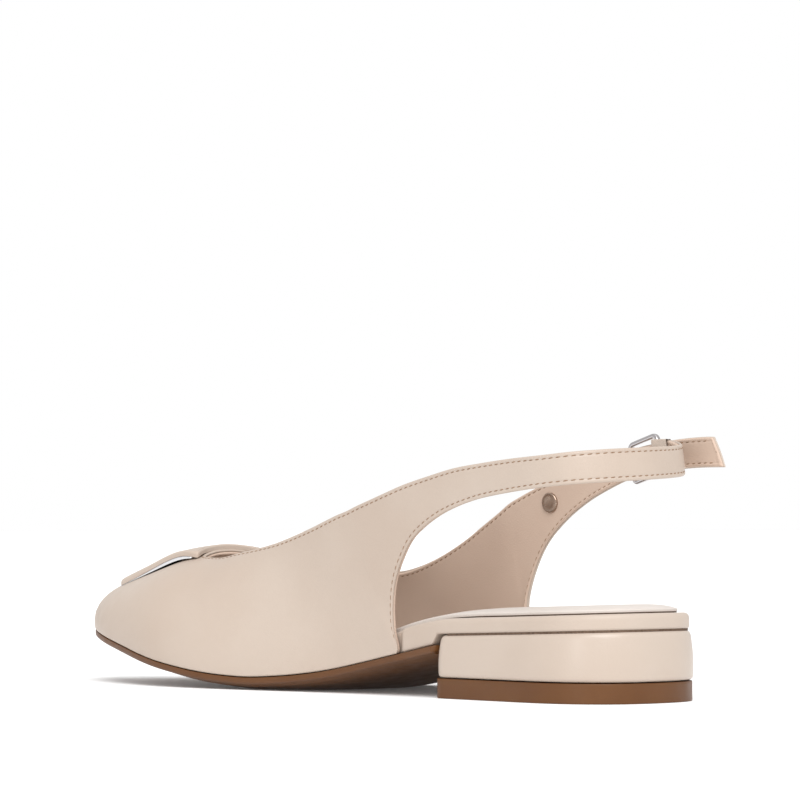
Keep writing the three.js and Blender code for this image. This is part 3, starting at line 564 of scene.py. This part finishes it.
crown = table("along upright lean run fall straight", [
    [0.3, 1.8, 1, 1, 10, 1], [0.45, 1.8, 1.5, 3, 9, 0.85], [0.55, 1.75, 2, 6, 6, 0.5],
    [0.65, 1.65, 2, 9, 4, 0.2], [0.75, 1.6, 2, 12, 3, 0], [0.85, 1.94, 1.9, 17.8, 4, 0],
    [0.95, 2.1, 3.6, 16.6, 6.4, 0], [1, 2.3, 5, 15.5, 8, 0],
])
wall = {
    "thick": 1.8, "feather": 0.2, "handle": 7.5, "bulge": 0.03, "seam": 0.03, "edgeRound": 0.55,
    "liningIn": 0.16, "stitchIn": 1.25, "groove": 0.13, "welt": 0.08, "perRow": 15,
    "landsOnSole": (16.6, 17.4), "leavesSole": (44.6, 45.4),
}
rowCount = len(strip["along"])
onSole = np.isnan(strip["lowHigh"])


def onOutsole(x, side):
    inset = wall["feather"] + wall["thick"] / 2
    slide = np.clip((x - length + shoe["toeRound"]) / shoe["toeRound"], 0, 1) ** 6
    at = x - inset * slide
    y = middle(x) + side * np.maximum(halfWidth(x) - inset * (1 - slide), 0)
    return np.stack([at, y, soleTop(at, y) + gap], -1)


high = shoe["slingHeight"]
lowFree = np.stack([strip["lowAlong"] * length, strip["lowAcross"] * ballWidth, strip["lowHigh"] * high], 1)
lowEdge = np.where(onSole[:, None], onOutsole(strip["lowAlong"] * length, strip["lowAcross"]), lowFree)
topEdge = np.stack([strip["along"] * length, strip["across"] * ballWidth, strip["high"] * high], 1)
lowShares = strip["lowAlong"][:, None]


# A curve through all the rows whose slope at each one comes from its two neighbours
def through(values, at):
    i = np.minimum(np.floor(at).astype(int), rowCount - 2)
    a, b, c, d = (values[np.clip(i + k, 0, rowCount - 1)] for k in (-1, 0, 1, 2))
    t = (at - i)[:, None]
    bend = 2 * a - 5 * b + 4 * c - d
    twist = 3 * b - a - 3 * c + d
    return 0.5 * (2 * b + (c - a) * t + bend * t**2 + twist * t**3)


def lowerAt(at):
    i = np.minimum(np.floor(at).astype(int), rowCount - 2)
    free = through(lowEdge, at)
    share = np.minimum(through(lowShares, at)[:, 0], 1)
    side = np.where(free[:, 1] > middle(free[:, 0]), 1.0, -1.0)
    standing = onOutsole(share * length, side)
    free[:, 2] = np.maximum(free[:, 2], soleTop(free[:, 0], free[:, 1]) + gap)
    return np.where((onSole[i] & onSole[i + 1])[:, None], standing, free)


# The middle of the wall is a cubic curve with two handles from the lower to the upper edge:
# it rises from the sole, leans out and turns in over the foot, or runs straight on a strap
def wallHandles(at):
    low, top = lowerAt(at), through(topEdge, at)
    place = np.clip(low[:, 0] / length, 0.3, 1)
    upright, lean, run, fall, straight = (curveAt(crown, c, place)[:, None] for c in
                                          ("upright", "lean", "run", "fall", "straight"))
    i = np.minimum(np.floor(at).astype(int), rowCount - 2)
    free = np.where(onSole, 0.0, 1.0)
    straight = np.maximum(straight, lerp(free[i], free[i + 1], at - i)[:, None])
    out = low[:, :2] - spineOf(low[:, :2])
    out /= np.linalg.norm(out, axis=1)[:, None]
    way = low[:, :2] - top[:, :2]
    way /= np.linalg.norm(way, axis=1)[:, None]
    third = (top - low) / 3
    bulge = wall["bulge"] * np.linalg.norm(top - low, axis=1)[:, None]
    push = np.concatenate([out * bulge * straight, bulge * 0], 1)
    rise = np.concatenate([out * lean, upright * wall["handle"]], 1)
    turn = np.concatenate([way * run, -fall], 1)
    lower = low + lerp(rise, third, straight) + push
    upper = top + lerp(turn, -third, straight) + push
    return low, lower, upper, top


def wallPoint(at, share):
    low, lower, upper, top = (p[:, None] for p in wallHandles(at))
    v = share[..., None]
    return low * (1 - v) ** 3 + 3 * lower * v * (1 - v) ** 2 + 3 * upper * v**2 * (1 - v) + top * v**3


def wallNormal(at, share, small=0.02):
    ahead, behind = np.minimum(at + small, rowCount - 1), np.maximum(at - small, 0)
    along = wallPoint(ahead, share) - wallPoint(behind, share)
    over = wallPoint(at, np.minimum(share + small, 1)) - wallPoint(at, np.maximum(share - small, 0))
    normal = np.cross(over, along)
    return normal / np.linalg.norm(normal, axis=-1)[..., None]


# Shares of the wall's height at given distances from its edges, found along its true length
def wallShares(at, fromLow, between, fromTop):
    fine = np.linspace(0, 1, 141)
    curve = wallPoint(at, np.broadcast_to(fine, (len(at), len(fine))))
    steps = np.linalg.norm(np.diff(curve, axis=1), axis=-1)
    run = np.concatenate([np.zeros((len(at), 1)), np.cumsum(steps, 1)], 1)
    total = run[:, -1:]
    first, last = fromLow[-1], total - fromTop[-1]
    goal = np.concatenate([
        np.broadcast_to(fromLow, (len(at), len(fromLow))),
        first + (last - first) * between,
        total - fromTop[::-1],
    ], 1)
    k = np.clip((run[:, None, :] < goal[..., None]).sum(-1) - 1, 0, len(fine) - 2)
    start, stop = np.take_along_axis(run, k, 1), np.take_along_axis(run, k + 1, 1)
    share = (k + (goal - start) / np.maximum(stop - start, 1e-9)) / (len(fine) - 1)
    return np.clip(share, 0, 1), goal, total - goal


edgeSteps = np.array([0, 0.04, 0.12, 0.24, 0.4, 0.6, 0.85, 1.05, 1.25, 1.45, 1.7, 2.1, 2.6, 3.2])
betweenSteps = np.linspace(0, 1, 24)[1:-1]


def nearFree(at):  # 1 where the lower edge hangs free, 0 where it stands on the sole
    return np.maximum(1 - smoothstep(at, *wall["landsOnSole"]), smoothstep(at, *wall["leavesSole"]))


# One layer of the wall: two faces off its middle that meet in rounded edges, with a groove
# along the stitching and a low welt outside it
def wallLayer(first, last, offset, half, edgeIn, relief):
    perRow = wall["perRow"]
    inner = np.arange(math.ceil(first * perRow), math.floor(last * perRow) + 1) / perRow
    ends = np.array([0, 0.006, 0.018, 0.035, 0.06, 0.09])
    at = np.unique(np.concatenate([inner, first + ends, last - ends]).round(5))
    at = at[(at >= first) & (at <= last)]
    share, low, top = wallShares(at, edgeSteps, betweenSteps, edgeSteps)
    center, normal = wallPoint(at, share), wallNormal(at, share)
    mid = center[:, center.shape[1] // 2]
    run = np.concatenate([[0], np.cumsum(np.linalg.norm(np.diff(mid, axis=0), axis=1))])
    end = np.minimum(run, run[-1] - run)[:, None]
    nearest = np.minimum(np.minimum(low, top), end)
    body = np.sqrt(1 - (1 - np.clip(nearest / wall["edgeRound"], 0, 1)) ** 2)
    free = nearFree(at)[:, None]
    rise = np.zeros_like(low)
    for distance, weight in ((low, free), (top, 1.0), (end, 1.0)):
        rise -= weight * wall["groove"] * np.exp(-(((distance - wall["stitchIn"]) / 0.26) ** 2))
        rise += weight * wall["welt"] * np.exp(-(((distance - 0.7) / 0.35) ** 2))
    across = np.gradient(center, axis=1)
    across /= np.linalg.norm(across, axis=-1)[..., None]
    pull = edgeIn * (np.exp(-((low / 0.5) ** 2)) * free - np.exp(-((top / 0.5) ** 2)))
    center = center + across * pull[..., None]
    sign = np.sign(offset)
    front = center + normal * (offset + sign * (half * body + relief * rise * body))[..., None]
    behind = center + normal * (offset - sign * half * body)[..., None]
    return front, behind


def closedSheet(front, behind):
    rows, columns = front.shape[:2]
    loop = np.concatenate([front, behind[:, ::-1]], 1)
    faces = gridFaces(rows, 2 * columns, closedColumns=True)
    flat = gridFaces(2, columns)
    caps = []
    for row in (0, rows - 1):
        first, across = row * 2 * columns, np.arange(columns)
        index = np.stack([first + across, first + 2 * columns - 1 - across])
        caps.append(index.ravel()[flat])
    return loop, np.concatenate([faces, *caps])


quarter = wall["thick"] / 4
layerHalf = quarter - wall["seam"] / 2
stripStart, stripEnd = 0.5, rowCount - 1.0
outerFront, outerBehind = wallLayer(stripStart, stripEnd, quarter, layerHalf, 0.0, 1.0)
upperPiece = addPiece("upper_leather", *closedSheet(outerFront, outerBehind), leather, "leather")
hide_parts("upper")
liningFront, liningBehind = wallLayer(stripStart, stripEnd, -quarter, layerHalf, wall["liningIn"], 0.7)
liningPiece = addPiece("upper_lining", *closedSheet(liningFront, liningBehind), lining, "leather")

print("stitching")
stitch = {
    "pitch": 2.4, "length": 1.65, "radius": 0.165, "sides": 8, "steps": 7, "slant": 0.1, "proud": 0.04,
    "first": 0.75, "innerLast": 16.85, "outerFirst": 45.2, "beforeEnd": 0.18, "lastStep": 8.2,
}


# One stitch is a thread whose radius closes at both ends and whose middle stands highest
def stitchShape():
    t = np.linspace(-1, 1, stitch["steps"])
    turn = np.linspace(0, 2 * math.pi, stitch["sides"], endpoint=False)
    radius = stitch["radius"] * np.sqrt(np.clip(1 - np.abs(t) ** 3, 0, 1))
    x = t * stitch["length"] / 2
    z = stitch["proud"] + 0.08 * (1 - t**2) - 0.1
    return np.stack([
        np.broadcast_to(x[:, None], (len(t), len(turn))),
        stitch["slant"] * x[:, None] + radius[:, None] * np.cos(turn),
        z[:, None] + radius[:, None] * np.sin(turn) * 0.8,
    ], -1).reshape(-1, 3), gridFaces(len(t), len(turn), closedColumns=True)


# Rows of points or normals, read at given lengths along the path
def readAlong(goal, run, rows):
    return np.stack([np.interp(goal, run, rows[:, k]) for k in range(3)], 1)


# Places one pitch apart along a path, with its direction and the surface's normal there
def along(path, normal, pitch):
    run = np.concatenate([[0], np.cumsum(np.linalg.norm(np.diff(path, axis=0), axis=1))])
    count = int((run[-1] - pitch) / pitch)
    goal = (run[-1] - (count - 1) * pitch) / 2 + np.arange(count) * pitch
    place, up = readAlong(goal, run, path), readAlong(goal, run, normal)
    way = readAlong(goal + 0.3, run, path) - readAlong(goal - 0.3, run, path)
    way /= np.linalg.norm(way, axis=1)[:, None]
    up -= way * (up * way).sum(1)[:, None]
    return place, way, up / np.linalg.norm(up, axis=1)[:, None]


def stitchRow(first, last, fromLow, side):
    at = np.linspace(first, last, int((last - first) * 24) + 2)
    edge = np.array([wall["stitchIn"]])
    share, _, _ = wallShares(at, edge, betweenSteps[:1], edge)
    share = share[:, :1] if fromLow else share[:, -1:]
    normal = wallNormal(at, share)[:, 0] * side
    path = wallPoint(at, share)[:, 0] + normal * (wall["thick"] / 2 - 0.1)
    return along(path, normal, stitch["pitch"])


def endRow(at, side):
    share = np.linspace(0.14, 0.86, 40)[None]
    where = np.array([at])
    normal = wallNormal(where, share)[0] * side
    return along(wallPoint(where, share)[0] + normal * (wall["thick"] / 2 - 0.1), normal, stitch["pitch"])


endAt = stripEnd - wall["stitchIn"] / stitch["lastStep"]
lastAt = stripEnd - stitch["beforeEnd"]
rowsOfStitches = []
for side in (1, -1):
    rowsOfStitches += [
        stitchRow(stitch["first"], stitch["innerLast"], True, side),
        stitchRow(stitch["first"], lastAt, False, side),
        stitchRow(stitch["outerFirst"], lastAt, True, side),
        endRow(endAt, side),
    ]
place, way, up = (np.concatenate([row[k] for row in rowsOfStitches]) for k in range(3))
shape, shapeFaces = stitchShape()
across = np.cross(up, way)
axes = enumerate((way, across, up))
points = place[:, None] + sum(shape[None, :, k, None] * axis[:, None] for k, axis in axes)
faces = (shapeFaces[None] + (np.arange(len(place)) * len(shape))[:, None, None]).reshape(-1, 4)
addPiece("stitching", points, faces, thread, "leather")
print("stitches", len(place))

print("ornament")
ornament = {
    "width": 35.0, "front": 0.936, "rear": 0.786, "middle": 0.007, "rearBow": 7.4, "frontBow": 3.0,
    "leather": 1.85, "rearPad": 0.15, "seat": 0.2, "arch": (1.2, 1.8), "metal": (0.12, 0.95),
    "metalRear": 3.0, "corner": 3.2, "edge": 0.75,
}
plateMiddle = ornament["middle"] * ballWidth


# The vamp's outer face under the plate as one smooth surface: powers of x and y up to the sixth
def vampFit():
    near = outerFront[:, :-7].reshape(-1, 3)
    rear, front = ornament["rear"] * length - 9, ornament["front"] * length + 3
    inside = (near[:, 0] > rear) & (near[:, 0] < front) & (np.abs(near[:, 1] - plateMiddle) < 20)
    near = near[inside]
    center = near[:, :2].mean(0)
    powers = [(i, j) for i in range(7) for j in range(7 - i)]

    def terms(x, y):
        p, q = (x - center[0]) / 22, (y - center[1]) / 20
        return np.stack([p**i * q**j for i, j in powers], -1)

    weights = np.linalg.lstsq(terms(near[:, 0], near[:, 1]), near[:, 2], rcond=None)[0]
    miss = terms(near[:, 0], near[:, 1]) @ weights - near[:, 2]
    print("vamp fit", len(near), round(float(np.abs(miss).max()), 2), "mm")
    return lambda x, y: terms(x, y) @ weights


vampTop = vampFit()


# How far a place lies along the plate, 0 at its rear, and across it, -1 and 1 at its sides
def plateShares(x, y):
    b = np.clip((y - plateMiddle) / (ornament["width"] / 2), -1, 1)
    rear = ornament["rear"] * length - ornament["rearBow"] * np.abs(b) ** 2.2
    front = ornament["front"] * length - ornament["frontBow"] * b * b
    return np.clip((x - rear) / (front - rear), 0, 1), b


def archAt(a):  # the plate lies on the vamp at both ends and stands off it most at a third
    return np.sin(math.pi * a**0.62) ** 2


def plateBottom(x, y):
    a, b = plateShares(x, y)
    return vampTop(x, y) + ornament["seat"] + lerp(*ornament["arch"], b * b) * archAt(a)


def plateTop(x, y):
    a, b = plateShares(x, y)
    pad = ornament["rearPad"] * (1 - b * b) * (1 - smoothstep(a, 0, 0.5))
    return plateBottom(x, y) + ornament["leather"] + pad


def metalTop(x, y):
    return plateBottom(x, y) - 0.03


def metalBottom(x, y):
    thin, swell = ornament["metal"]
    return metalTop(x, y) - thin - swell * archAt(plateShares(x, y)[0])


# The plate's outline from above: two bowed ends and two straight sides, with the corners
# rounded by averaging along the outline
def plateOutline(grow, rearIn=0.0):
    b = np.linspace(-1, 1, 200)
    half = ornament["width"] / 2 + grow
    rear = ornament["rear"] * length - grow + rearIn - ornament["rearBow"] * np.abs(b) ** 2.2
    front = ornament["front"] * length + grow - ornament["frontBow"] * b * b
    a = np.linspace(0, 1, 200)
    loop = np.concatenate([
        np.stack([lerp(rear[0], front[0], a), a * 0 + plateMiddle - half], 1),
        np.stack([front, plateMiddle + b * half], 1),
        np.stack([lerp(front[-1], rear[-1], a), a * 0 + plateMiddle + half], 1),
        np.stack([rear, plateMiddle + b * half], 1)[::-1],
    ])
    closed = np.append(loop, loop[:1], 0)
    run = np.concatenate([[0], np.cumsum(np.linalg.norm(np.diff(closed, axis=0), axis=1))])
    even = np.linspace(0, run[-1], 360, endpoint=False)
    ring = np.stack([np.interp(even, run, closed[:, k]) for k in (0, 1)], 1)
    width = int(ornament["corner"] / (run[-1] / 360))
    kernel = np.exp(-np.linspace(-2, 2, 4 * width + 1) ** 2)
    return sum(np.roll(ring, k - 2 * width, 0) * w for k, w in enumerate(kernel / kernel.sum()))


def plateCore(ring):
    x = np.clip(ring[:, 0], ring[:, 0].min() + 10, ring[:, 0].max() - 10)
    return np.stack([x, x * 0 + ring[:, 1].mean()], 1)


ring = plateOutline(0)
rings = slabRings(0.2, ornament["edge"], inner=24, side=4)
points, faces = slab(ring, plateCore(ring), rings, plateBottom, plateTop)
platePiece = addPiece("ornament_cover", points, faces, leather, "leather")
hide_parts("ornament_leather")

ring = plateOutline(-0.05, ornament["metalRear"])
points, faces = slab(ring, plateCore(ring), slabRings(0.05, 0.05, inner=24, side=4), metalBottom, metalTop)
metalPiece = addPiece("ornament_plate", points, faces, silver, "plated_metal")
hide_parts("ornament_metal")

print("buckle")
buckle = {
    "at": (0.137, -0.382, 0.956), "pitch": 13.0, "yaw": -10.0, "length": 15.6, "height": 13.2,
    "bar": 1.5, "thick": 1.6, "corner": 2.6, "prong": 1.2,
}
buckleTurn = np.array(Matrix.Rotation(math.radians(buckle["yaw"]), 3, "Z") @
                      Matrix.Rotation(math.radians(buckle["pitch"]), 3, "Y"))
buckleAt = np.array(buckle["at"]) * [length, ballWidth, high]


def fromBuckle(points):
    return points @ buckleTurn.T + buckleAt


# A section carried along a path: side and up are unit vectors at each of its points
def sweep(path, side, up, section, closed=False, scale=None):
    size = np.ones(len(path)) if scale is None else scale
    wide = section[None, :, 0, None] * side[:, None]
    tall = section[None, :, 1, None] * up[:, None]
    points = path[:, None] + (wide + tall) * size[:, None, None]
    return points, gridFaces(len(path), len(section), closedRows=closed, closedColumns=True)


def roundSection(width, height, power=2.0, count=20):
    turn = np.linspace(0, 2 * math.pi, count, endpoint=False)
    c, s = np.cos(turn), np.sin(turn)
    return np.stack([np.sign(c) * np.abs(c) ** (2 / power) * width / 2,
                     np.sign(s) * np.abs(s) ** (2 / power) * height / 2], 1)


def roundedLoop(width, height, corner, steps=10):
    turn = np.linspace(0, math.pi / 2, steps)
    parts, normals = [], []
    for k, (sx, sz) in enumerate(((1, 1), (-1, 1), (-1, -1), (1, -1))):
        angle = turn + k * math.pi / 2
        out = np.stack([np.cos(angle), np.sin(angle)], 1)
        parts.append(np.array([sx * (width / 2 - corner), sz * (height / 2 - corner)]) + out * corner)
        normals.append(out)
    return np.concatenate(parts), np.concatenate(normals)


bar = buckle["bar"]
loop, out = roundedLoop(buckle["length"] - bar, buckle["height"] - bar, buckle["corner"] - bar / 2)
path = np.stack([loop[:, 0], loop[:, 0] * 0, loop[:, 1]], 1)
side = np.stack([out[:, 0], out[:, 0] * 0, out[:, 1]], 1)
up = np.broadcast_to([0.0, 1.0, 0.0], side.shape)
points, faces = sweep(path, side, up, roundSection(buckle["bar"], buckle["thick"], 3.6, 28), closed=True)
bucklePiece = addPiece("buckle_frame", fromBuckle(points), faces, buckleSilver, "plated_metal")
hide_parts("buckle")

rearBar = -(buckle["length"] - buckle["bar"]) / 2
turn = np.linspace(0, 2 * math.pi, 40, endpoint=False)
eyeRadius = buckle["bar"] / 2 + 0.55
path = np.stack([rearBar + eyeRadius * np.cos(turn), eyeRadius * 1.05 * np.sin(turn), turn * 0], 1)
side = np.stack([np.cos(turn), np.sin(turn), turn * 0], 1)
up = np.broadcast_to([0.0, 0.0, 1.0], side.shape)
eye, eyeFaces = sweep(path, side, up, roundSection(0.55, buckle["prong"] * 1.35, 4, 16), closed=True)
t = np.linspace(0, 1, 30)
tip = -rearBar + buckle["bar"] / 2 + 0.4
frontY = -(buckle["thick"] + buckle["prong"]) / 2 - 0.15
x = lerp(rearBar + eyeRadius - 0.1, tip, t)
y = frontY * smoothstep(t, 0.0, 0.85) + 0.25 * smoothstep(t, 0.86, 1.0)
path = np.stack([x, y, x * 0], 1)
way = np.gradient(path, axis=0)
way /= np.linalg.norm(way, axis=1)[:, None]
up = np.broadcast_to([0.0, 0.0, 1.0], way.shape)
scale = np.where(t > 0.94, np.sqrt(np.clip(1 - ((t - 0.94) / 0.06) ** 2, 0, 1)), 1) * lerp(1.0, 0.8, t)
section = roundSection(buckle["prong"] * 0.9, buckle["prong"], 2.4, 16)
pin, pinFaces = sweep(path, np.cross(up, way), up, section, scale=scale)
points = np.concatenate([eye.reshape(-1, 3), pin.reshape(-1, 3)])
faces = np.concatenate([eyeFaces, pinFaces + eye.shape[0] * eye.shape[1]])
prongPiece = addPiece("buckle_pin", fromBuckle(points), faces, buckleSilver, "plated_metal")
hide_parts("buckle_prong")

# The sling's end goes round the rear bar and comes back on the inside: straight legs and a
# half circle, with a leather band's section carried along them
loopEnd = {"leg": 5.4, "tab": 6.5, "wall": 1.0, "slot": 1.7}
bend = buckle["bar"] / 2 + 0.3 + loopEnd["wall"] / 2
a = np.linspace(0, 1, 24)
turn = np.linspace(-math.pi / 2, math.pi / 2, 24)
outerLeg = np.stack([rearBar - loopEnd["leg"] * (1 - a), -lerp(0.45, bend, smoothstep(a, 0, 1))], 1)
around = np.stack([rearBar + bend * np.cos(turn), bend * np.sin(turn)], 1)
innerLeg = np.stack([rearBar - loopEnd["tab"] * a, lerp(bend, 1.35, smoothstep(a, 0, 0.6))], 1)
flat = np.concatenate([outerLeg, around[1:], innerLeg[1:]])
drop = np.tan(math.radians(buckle["pitch"])) * np.minimum(flat[:, 0] - rearBar, 0)
path = np.stack([flat[:, 0], flat[:, 1], drop], 1)
way = np.gradient(path, axis=0)
way /= np.linalg.norm(way, axis=1)[:, None]
up = np.broadcast_to([0.0, 0.0, 1.0], way.shape)
bandHeight = (strip["high"][0] - strip["lowHigh"][0]) * high
section = roundSection(loopEnd["wall"], bandHeight, 9, 44)
points, faces = sweep(path, np.cross(up, way), up, section)
loopPiece = addPiece("sling_loop", fromBuckle(points), faces, leather, "leather")


# Holes are cut with a second mesh, and the result is kept as the piece's own mesh
def cutWith(piece, points, faces):
    tool = addPiece("cutter", points, faces, leather, "leather")
    cut = piece.modifiers.new("cut", "BOOLEAN")
    cut.operation, cut.solver, cut.object = "DIFFERENCE", "EXACT", tool
    kept = bpy.data.meshes.new_from_object(piece.evaluated_get(bpy.context.evaluated_depsgraph_get()))
    piece.modifiers.remove(cut)
    piece.data = kept
    bpy.data.objects.remove(tool)


def boxMesh(lowCorner, highCorner):
    corner = np.array([[x, y, z] for x in (0, 1) for y in (0, 1) for z in (0, 1)], float)
    faces = np.array([[0, 1, 3, 2], [4, 6, 7, 5], [0, 4, 5, 1], [2, 3, 7, 6], [0, 2, 6, 4], [1, 5, 7, 3]])
    return lerp(np.array(lowCorner, float), np.array(highCorner, float), corner), faces


half = loopEnd["slot"] / 2
points, faces = boxMesh((rearBar - 1.9, -4, -half), (rearBar + 4, 4, half))
cutWith(loopPiece, fromBuckle(points), faces)

print("rivet")
rivet = {"row": 49.2, "up": 0.62, "steps": 64}
at = np.array([rivet["row"]])
rivetAt = wallPoint(at, np.array([[rivet["up"]]]))[0, 0]
inwards = -wallNormal(at, np.array([[rivet["up"]]]))[0, 0]
sideways = np.cross(inwards, [0.0, 0.0, 1.0])
sideways /= np.linalg.norm(sideways)
upwards = np.cross(sideways, inwards)
half = wall["thick"] / 2
profile = np.array([
    [0, -half - 0.77], [1.2, -half - 0.76], [2.1, -half - 0.66], [2.5, -half - 0.45],
    [2.65, -half - 0.1], [2.6, -half + 0.3], [0.5, -half + 0.3], [0.5, half - 0.3],
    [3.1, half - 0.3], [3.15, half + 0.1], [3.13, half + 0.45], [3.02, half + 0.66],
    [2.84, half + 0.76], [2.66, half + 0.74], [2.5, half + 0.7], [1.6, half + 0.76], [0, half + 0.8],
])
turn = np.linspace(0, 2 * math.pi, rivet["steps"], endpoint=False)
radial = np.cos(turn)[:, None] * sideways + np.sin(turn)[:, None] * upwards
points = rivetAt + profile[:, 0][:, None, None] * radial[None] + profile[:, 1][:, None, None] * inwards
faces = gridFaces(len(profile), rivet["steps"], closedColumns=True)
rivetPiece = addPiece("rivet_smooth", points, faces, rivetMetal, "plated_metal")
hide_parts("rivet")

print("floor, light and camera")
stage = {"floor": 12.0, "tone": (0.95, 0.95, 0.95), "glow": 0.05, "world": 0.84}
mesh = bpy.data.meshes.new("floor")
size = stage["floor"]
mesh.from_pydata([(-size, -size, 0), (size, -size, 0), (size, size, 0), (-size, size, 0)], [], [(0, 1, 2, 3)])
floor = bpy.data.objects.new("floor", mesh)
collection.objects.link(floor)


def floorNodes(tree, shader, place):
    color = ramp(tree, noise(tree, place, 3, 1), [(0.3, stage["tone"]), (0.7, (0.96, 0.96, 0.96))])
    tree.links.new(color, shader.inputs["Base Color"])


paper = {
    "Roughness": 0.6, "Specular IOR Level": 0.15, "Emission Color": (1.0, 1.0, 1.0, 1.0),
    "Emission Strength": stage["glow"],
}
mesh.materials.append(makeMaterial("floorPaper", paper, floorNodes))

scene = bpy.context.scene
world = bpy.data.worlds.new("studio")
scene.world = world
world.use_nodes = True
background = world.node_tree.nodes["Background"]
background.inputs["Color"].default_value = (1.0, 1.0, 1.0, 1)
background.inputs["Strength"].default_value = stage["world"]
plain = world.node_tree.nodes.new("ShaderNodeBackground")  # what the camera sees behind the shoe
plain.inputs["Color"].default_value = (1.0, 1.0, 1.0, 1)
which = world.node_tree.nodes.new("ShaderNodeMixShader")
rays = world.node_tree.nodes.new("ShaderNodeLightPath")
world.node_tree.links.new(rays.outputs["Is Camera Ray"], which.inputs["Fac"])
world.node_tree.links.new(background.outputs["Background"], which.inputs[1])
world.node_tree.links.new(plain.outputs["Background"], which.inputs[2])
world.node_tree.links.new(which.outputs["Shader"], world.node_tree.nodes["World Output"].inputs["Surface"])
scene.view_settings.view_transform = "Standard"
scene.view_settings.look = "None"

camera = {"at": (-0.9182, 0.8313, 0.0538), "way": (0.7373, -0.6756), "tilt": 1.746, "lens": 175.95}


lights = {
    "overhead": {"at": (-0.1, 0.0, 1.5), "aim": (0, 0, 0), "power": 3.0, "size": (1.4, 1.2)},
    "strip": {"at": (-0.4, 1.2, 0.25), "aim": (-0.11, 0.03, 0.01), "power": 2.2, "size": (0.16, 0.9)},
    "key": {"at": (-1.3, 0.8, 1.6), "aim": (0, 0, 0), "power": 2.3, "spread": 0.8},
}


def addLight(name, kind, values):
    light = bpy.data.lights.new(name, kind)
    light.energy = values["power"]
    lamp = bpy.data.objects.new(name, light)
    collection.objects.link(lamp)
    lamp.location = values["at"]
    gaze = Vector(values["aim"]) - Vector(values["at"])
    lamp.rotation_euler = gaze.to_track_quat("-Z", "Y").to_euler()
    return light


for name in ("overhead", "strip"):
    soft = addLight(name, "AREA", lights[name])
    soft.shape = "RECTANGLE"
    soft.size, soft.size_y = lights[name]["size"]
addLight("key", "SUN", lights["key"]).angle = lights["key"]["spread"]

lens = bpy.data.cameras.new("camera")
lens.lens, lens.sensor_width, lens.sensor_fit = camera["lens"], 36.0, "HORIZONTAL"
lens.clip_start, lens.clip_end = 0.01, 50
eyePoint = bpy.data.objects.new("camera", lens)
collection.objects.link(eyePoint)
eyePoint.location = camera["at"]
tilt = math.radians(camera["tilt"])
gaze = Vector((*(np.array(camera["way"]) * math.cos(tilt)), math.sin(tilt)))
eyePoint.rotation_euler = gaze.to_track_quat("-Z", "Y").to_euler()
scene.camera = eyePoint
